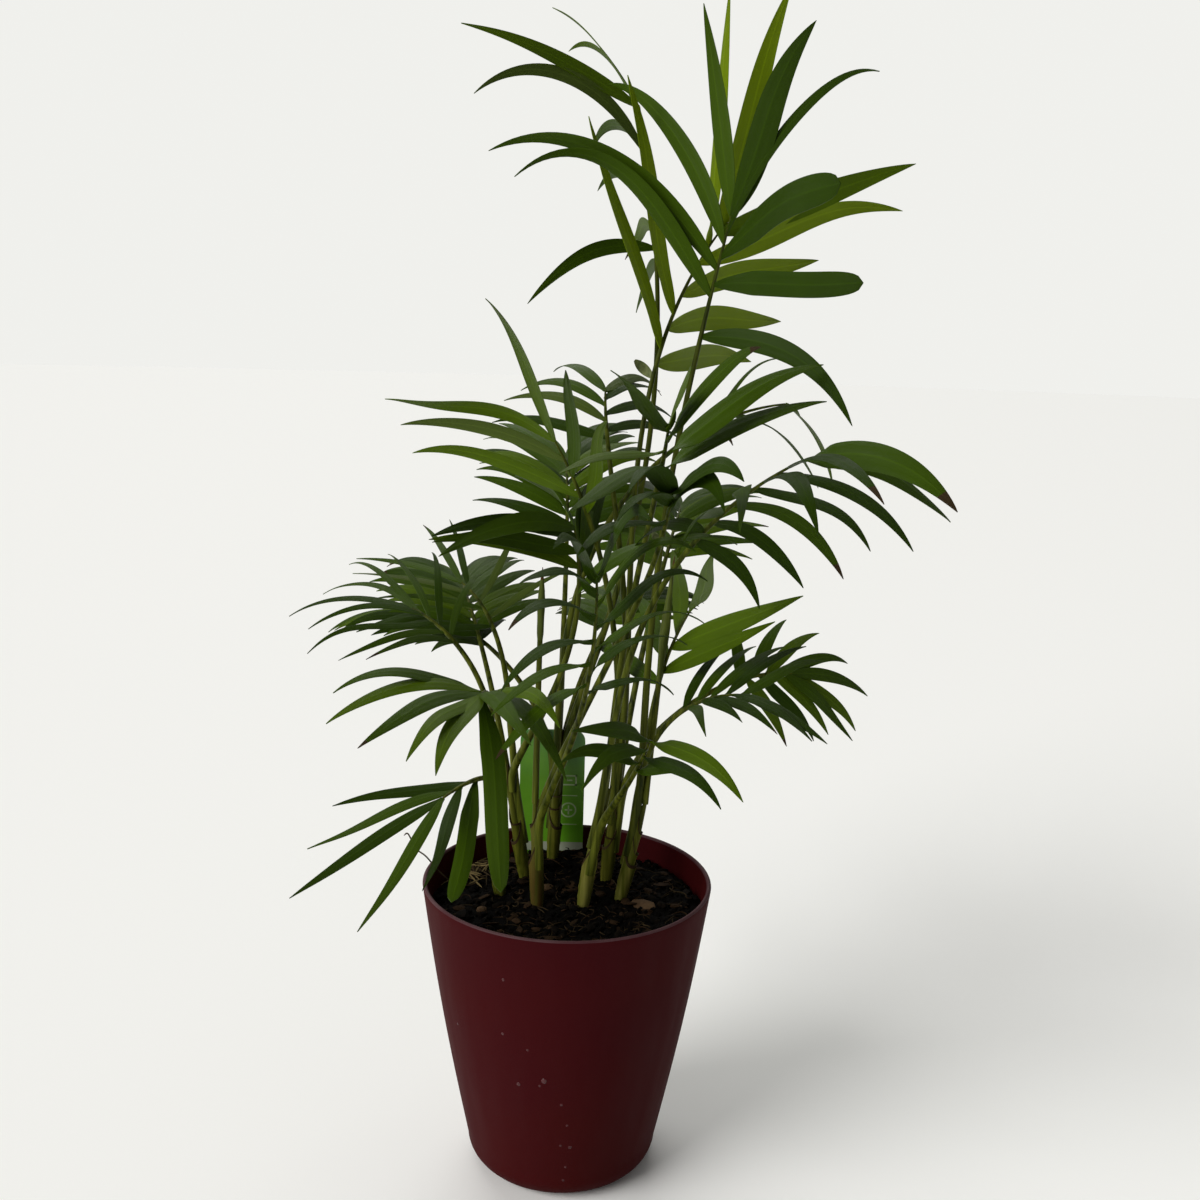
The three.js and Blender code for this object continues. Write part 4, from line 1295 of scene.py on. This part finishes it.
def grown_blades(number):
    chance = Random(100 + number)
    usual_width = WIDTH_SHARES.get(number, USUAL_WIDTH_SHARE)
    usual_light = LIGHT_SHARES.get(number, USUAL_LIGHT_SHARE)
    blades = []
    for leaflet in packed_leaflets(number):
        place = number, leaflet["pair"], leaflet["hand"]
        tint = chance.choice(FROND_TINTS.get(number, USUAL_TINTS))
        slots = [SHADED_HALVES.get((number, leaflet["hand"]), tint)] * BLADE_ROWS
        if chance.random() < DRY_SHARE and number not in SOUND_FRONDS:
            dry_rows = chance.randint(2, 4)
            slots[-dry_rows:] = [DRY] * dry_rows
        width = leaflet["width"] * WIDTH_SHARES.get(place, usual_width)
        share_turned = LIGHT_SHARES.get(place, usual_light)
        path = blade_path(FRONDS[number - 1], leaflet, leaflet["turn"], BLADE_ROWS)
        blunt = place in BLUNT_LEAFLETS
        blades.append(blade_shape(path, leaflet["length"], width, blunt, share_turned, slots, chance))
    return blades


for storey, numbers in STOREYS.items():
    blades = [blade for number in numbers for blade in grown_blades(number)]
    names = [f"frond_{number:02d}" for number in numbers]
    record_slot = "young_leaf" if storey == "young" else "leaf"
    new_piece(f"leaflets_{storey}", blades, LEAF_MATERIALS, record_slot, names)


# ---- Unopened leaves ---------------------------------------------------------------------
# Two new leaves still rolled up: a slim spear with a reddish point on the front cane, and a
# folded one on the right-hand cane. Two small pale scales curl away from the tall stalks.

UNOPENED_WORDS = "cane up bearing lean bend length leaf_from girth".split()
UNOPENED = [(1, 52, -70, 1, 3, 114, 0.72, 1.9), (3, 50, 60, 9, 3, 120, 0.52, 2.3)]
UNOPENED_ROWS = 40
UNOPENED_SIDES = 12
POINT_ROWS = 2


def unopened_shape(sizes):
    bud = dict(zip(UNOPENED_WORDS, sizes))
    cane = CANES[bud["cane"] - 1]
    start = cane["arc"](bud["up"] / cane["height"])[0]
    arc = arc_of(start, bud["bearing"], bud["lean"], bud["bend"], bud["length"])

    def radius(share, turn):
        stem = 1.7 - 0.6 * share
        if share < bud["leaf_from"]:
            return stem
        part = (share - bud["leaf_from"]) / (1 - bud["leaf_from"])
        swell = stem + (bud["girth"] - stem) * sin(pi * min(1.0, part * 2.2) / 2)
        rolled = swell * (1 - part**2.2) + 0.15
        return rolled * (1 + 0.12 * sin(2 * turn + 9 * part))

    shares = [i / UNOPENED_ROWS for i in range(UNOPENED_ROWS + 1)]
    slots = np.zeros((UNOPENED_ROWS, UNOPENED_SIDES), dtype=int)
    slots[int(UNOPENED_ROWS * bud["leaf_from"]):] = 1
    slots[-POINT_ROWS:] = 2
    return closed_shape(tube(arc, shares, UNOPENED_SIDES, radius), slots)


rolled_green = grown_green(
    "rolled leaf", (0.085, 0.105, 0.018), (0.095, 0.12, 0.022), (0.06, 0.08, 0.012), (180, 300)
)
red_point = earthy_material(
    "reddish point", (0.05, 0.016, 0.01), (0.075, 0.04, 0.014), 200, 900, 0.00005, 0.5
)
buds = [unopened_shape(sizes) for sizes in UNOPENED]
new_piece("unopened_leaves", buds, [stalk_green, rolled_green, red_point], "leaf")

# The scales: the frond, the share up its arc, the way a scale points, its length and width.
SCALES = [(2, 0.71, (-0.75, -0.1, 0.66), 12, 5.0), (1, 0.475, (-0.5, -0.2, 0.85), 8, 3.6)]
SCALE_BOW = 0.25
SCALE_CUP = 0.5
SCALE_THICKNESS = 0.25
SCALE_ROWS = 12
SCALE_COLUMNS = 9


def scale_shape(number, share, pointing, length, width):
    foot = FRONDS[number - 1]["arc"](share)[0]
    along = Vector(pointing).normalized() * length
    across = along.cross(Vector((0, 1, 0))).normalized()
    out = across.cross(along).normalized()
    rings = []
    for part in np.linspace(0, 1, SCALE_ROWS + 1):
        middle = foot + along * part + out * SCALE_BOW * length * sin(pi * part)
        half = width / 2 * sin(pi * (0.06 + 0.9 * part)) ** 0.7
        row = []
        for beside in np.linspace(-1, 1, SCALE_COLUMNS):
            row.append(middle + across * half * beside + out * SCALE_CUP * half * (1 - beside**2))
        back = [spot - out * SCALE_THICKNESS for spot in row[::-1]]
        rings.append([spot[:] for spot in row + back])
    return closed_shape(rings)


# The scales are pale of their own, and their colour is raised further as painted light, for they sit in
# the leaves' shade.
pale_scale_painted_light = grown_green(
    "pale scale", (0.3, 0.34, 0.16), (0.24, 0.29, 0.12), (0.17, 0.17, 0.06), (300, 400), 0.5
)
new_piece("stalk_scales", [scale_shape(*sizes) for sizes in SCALES], [pale_scale_painted_light], "leaf")
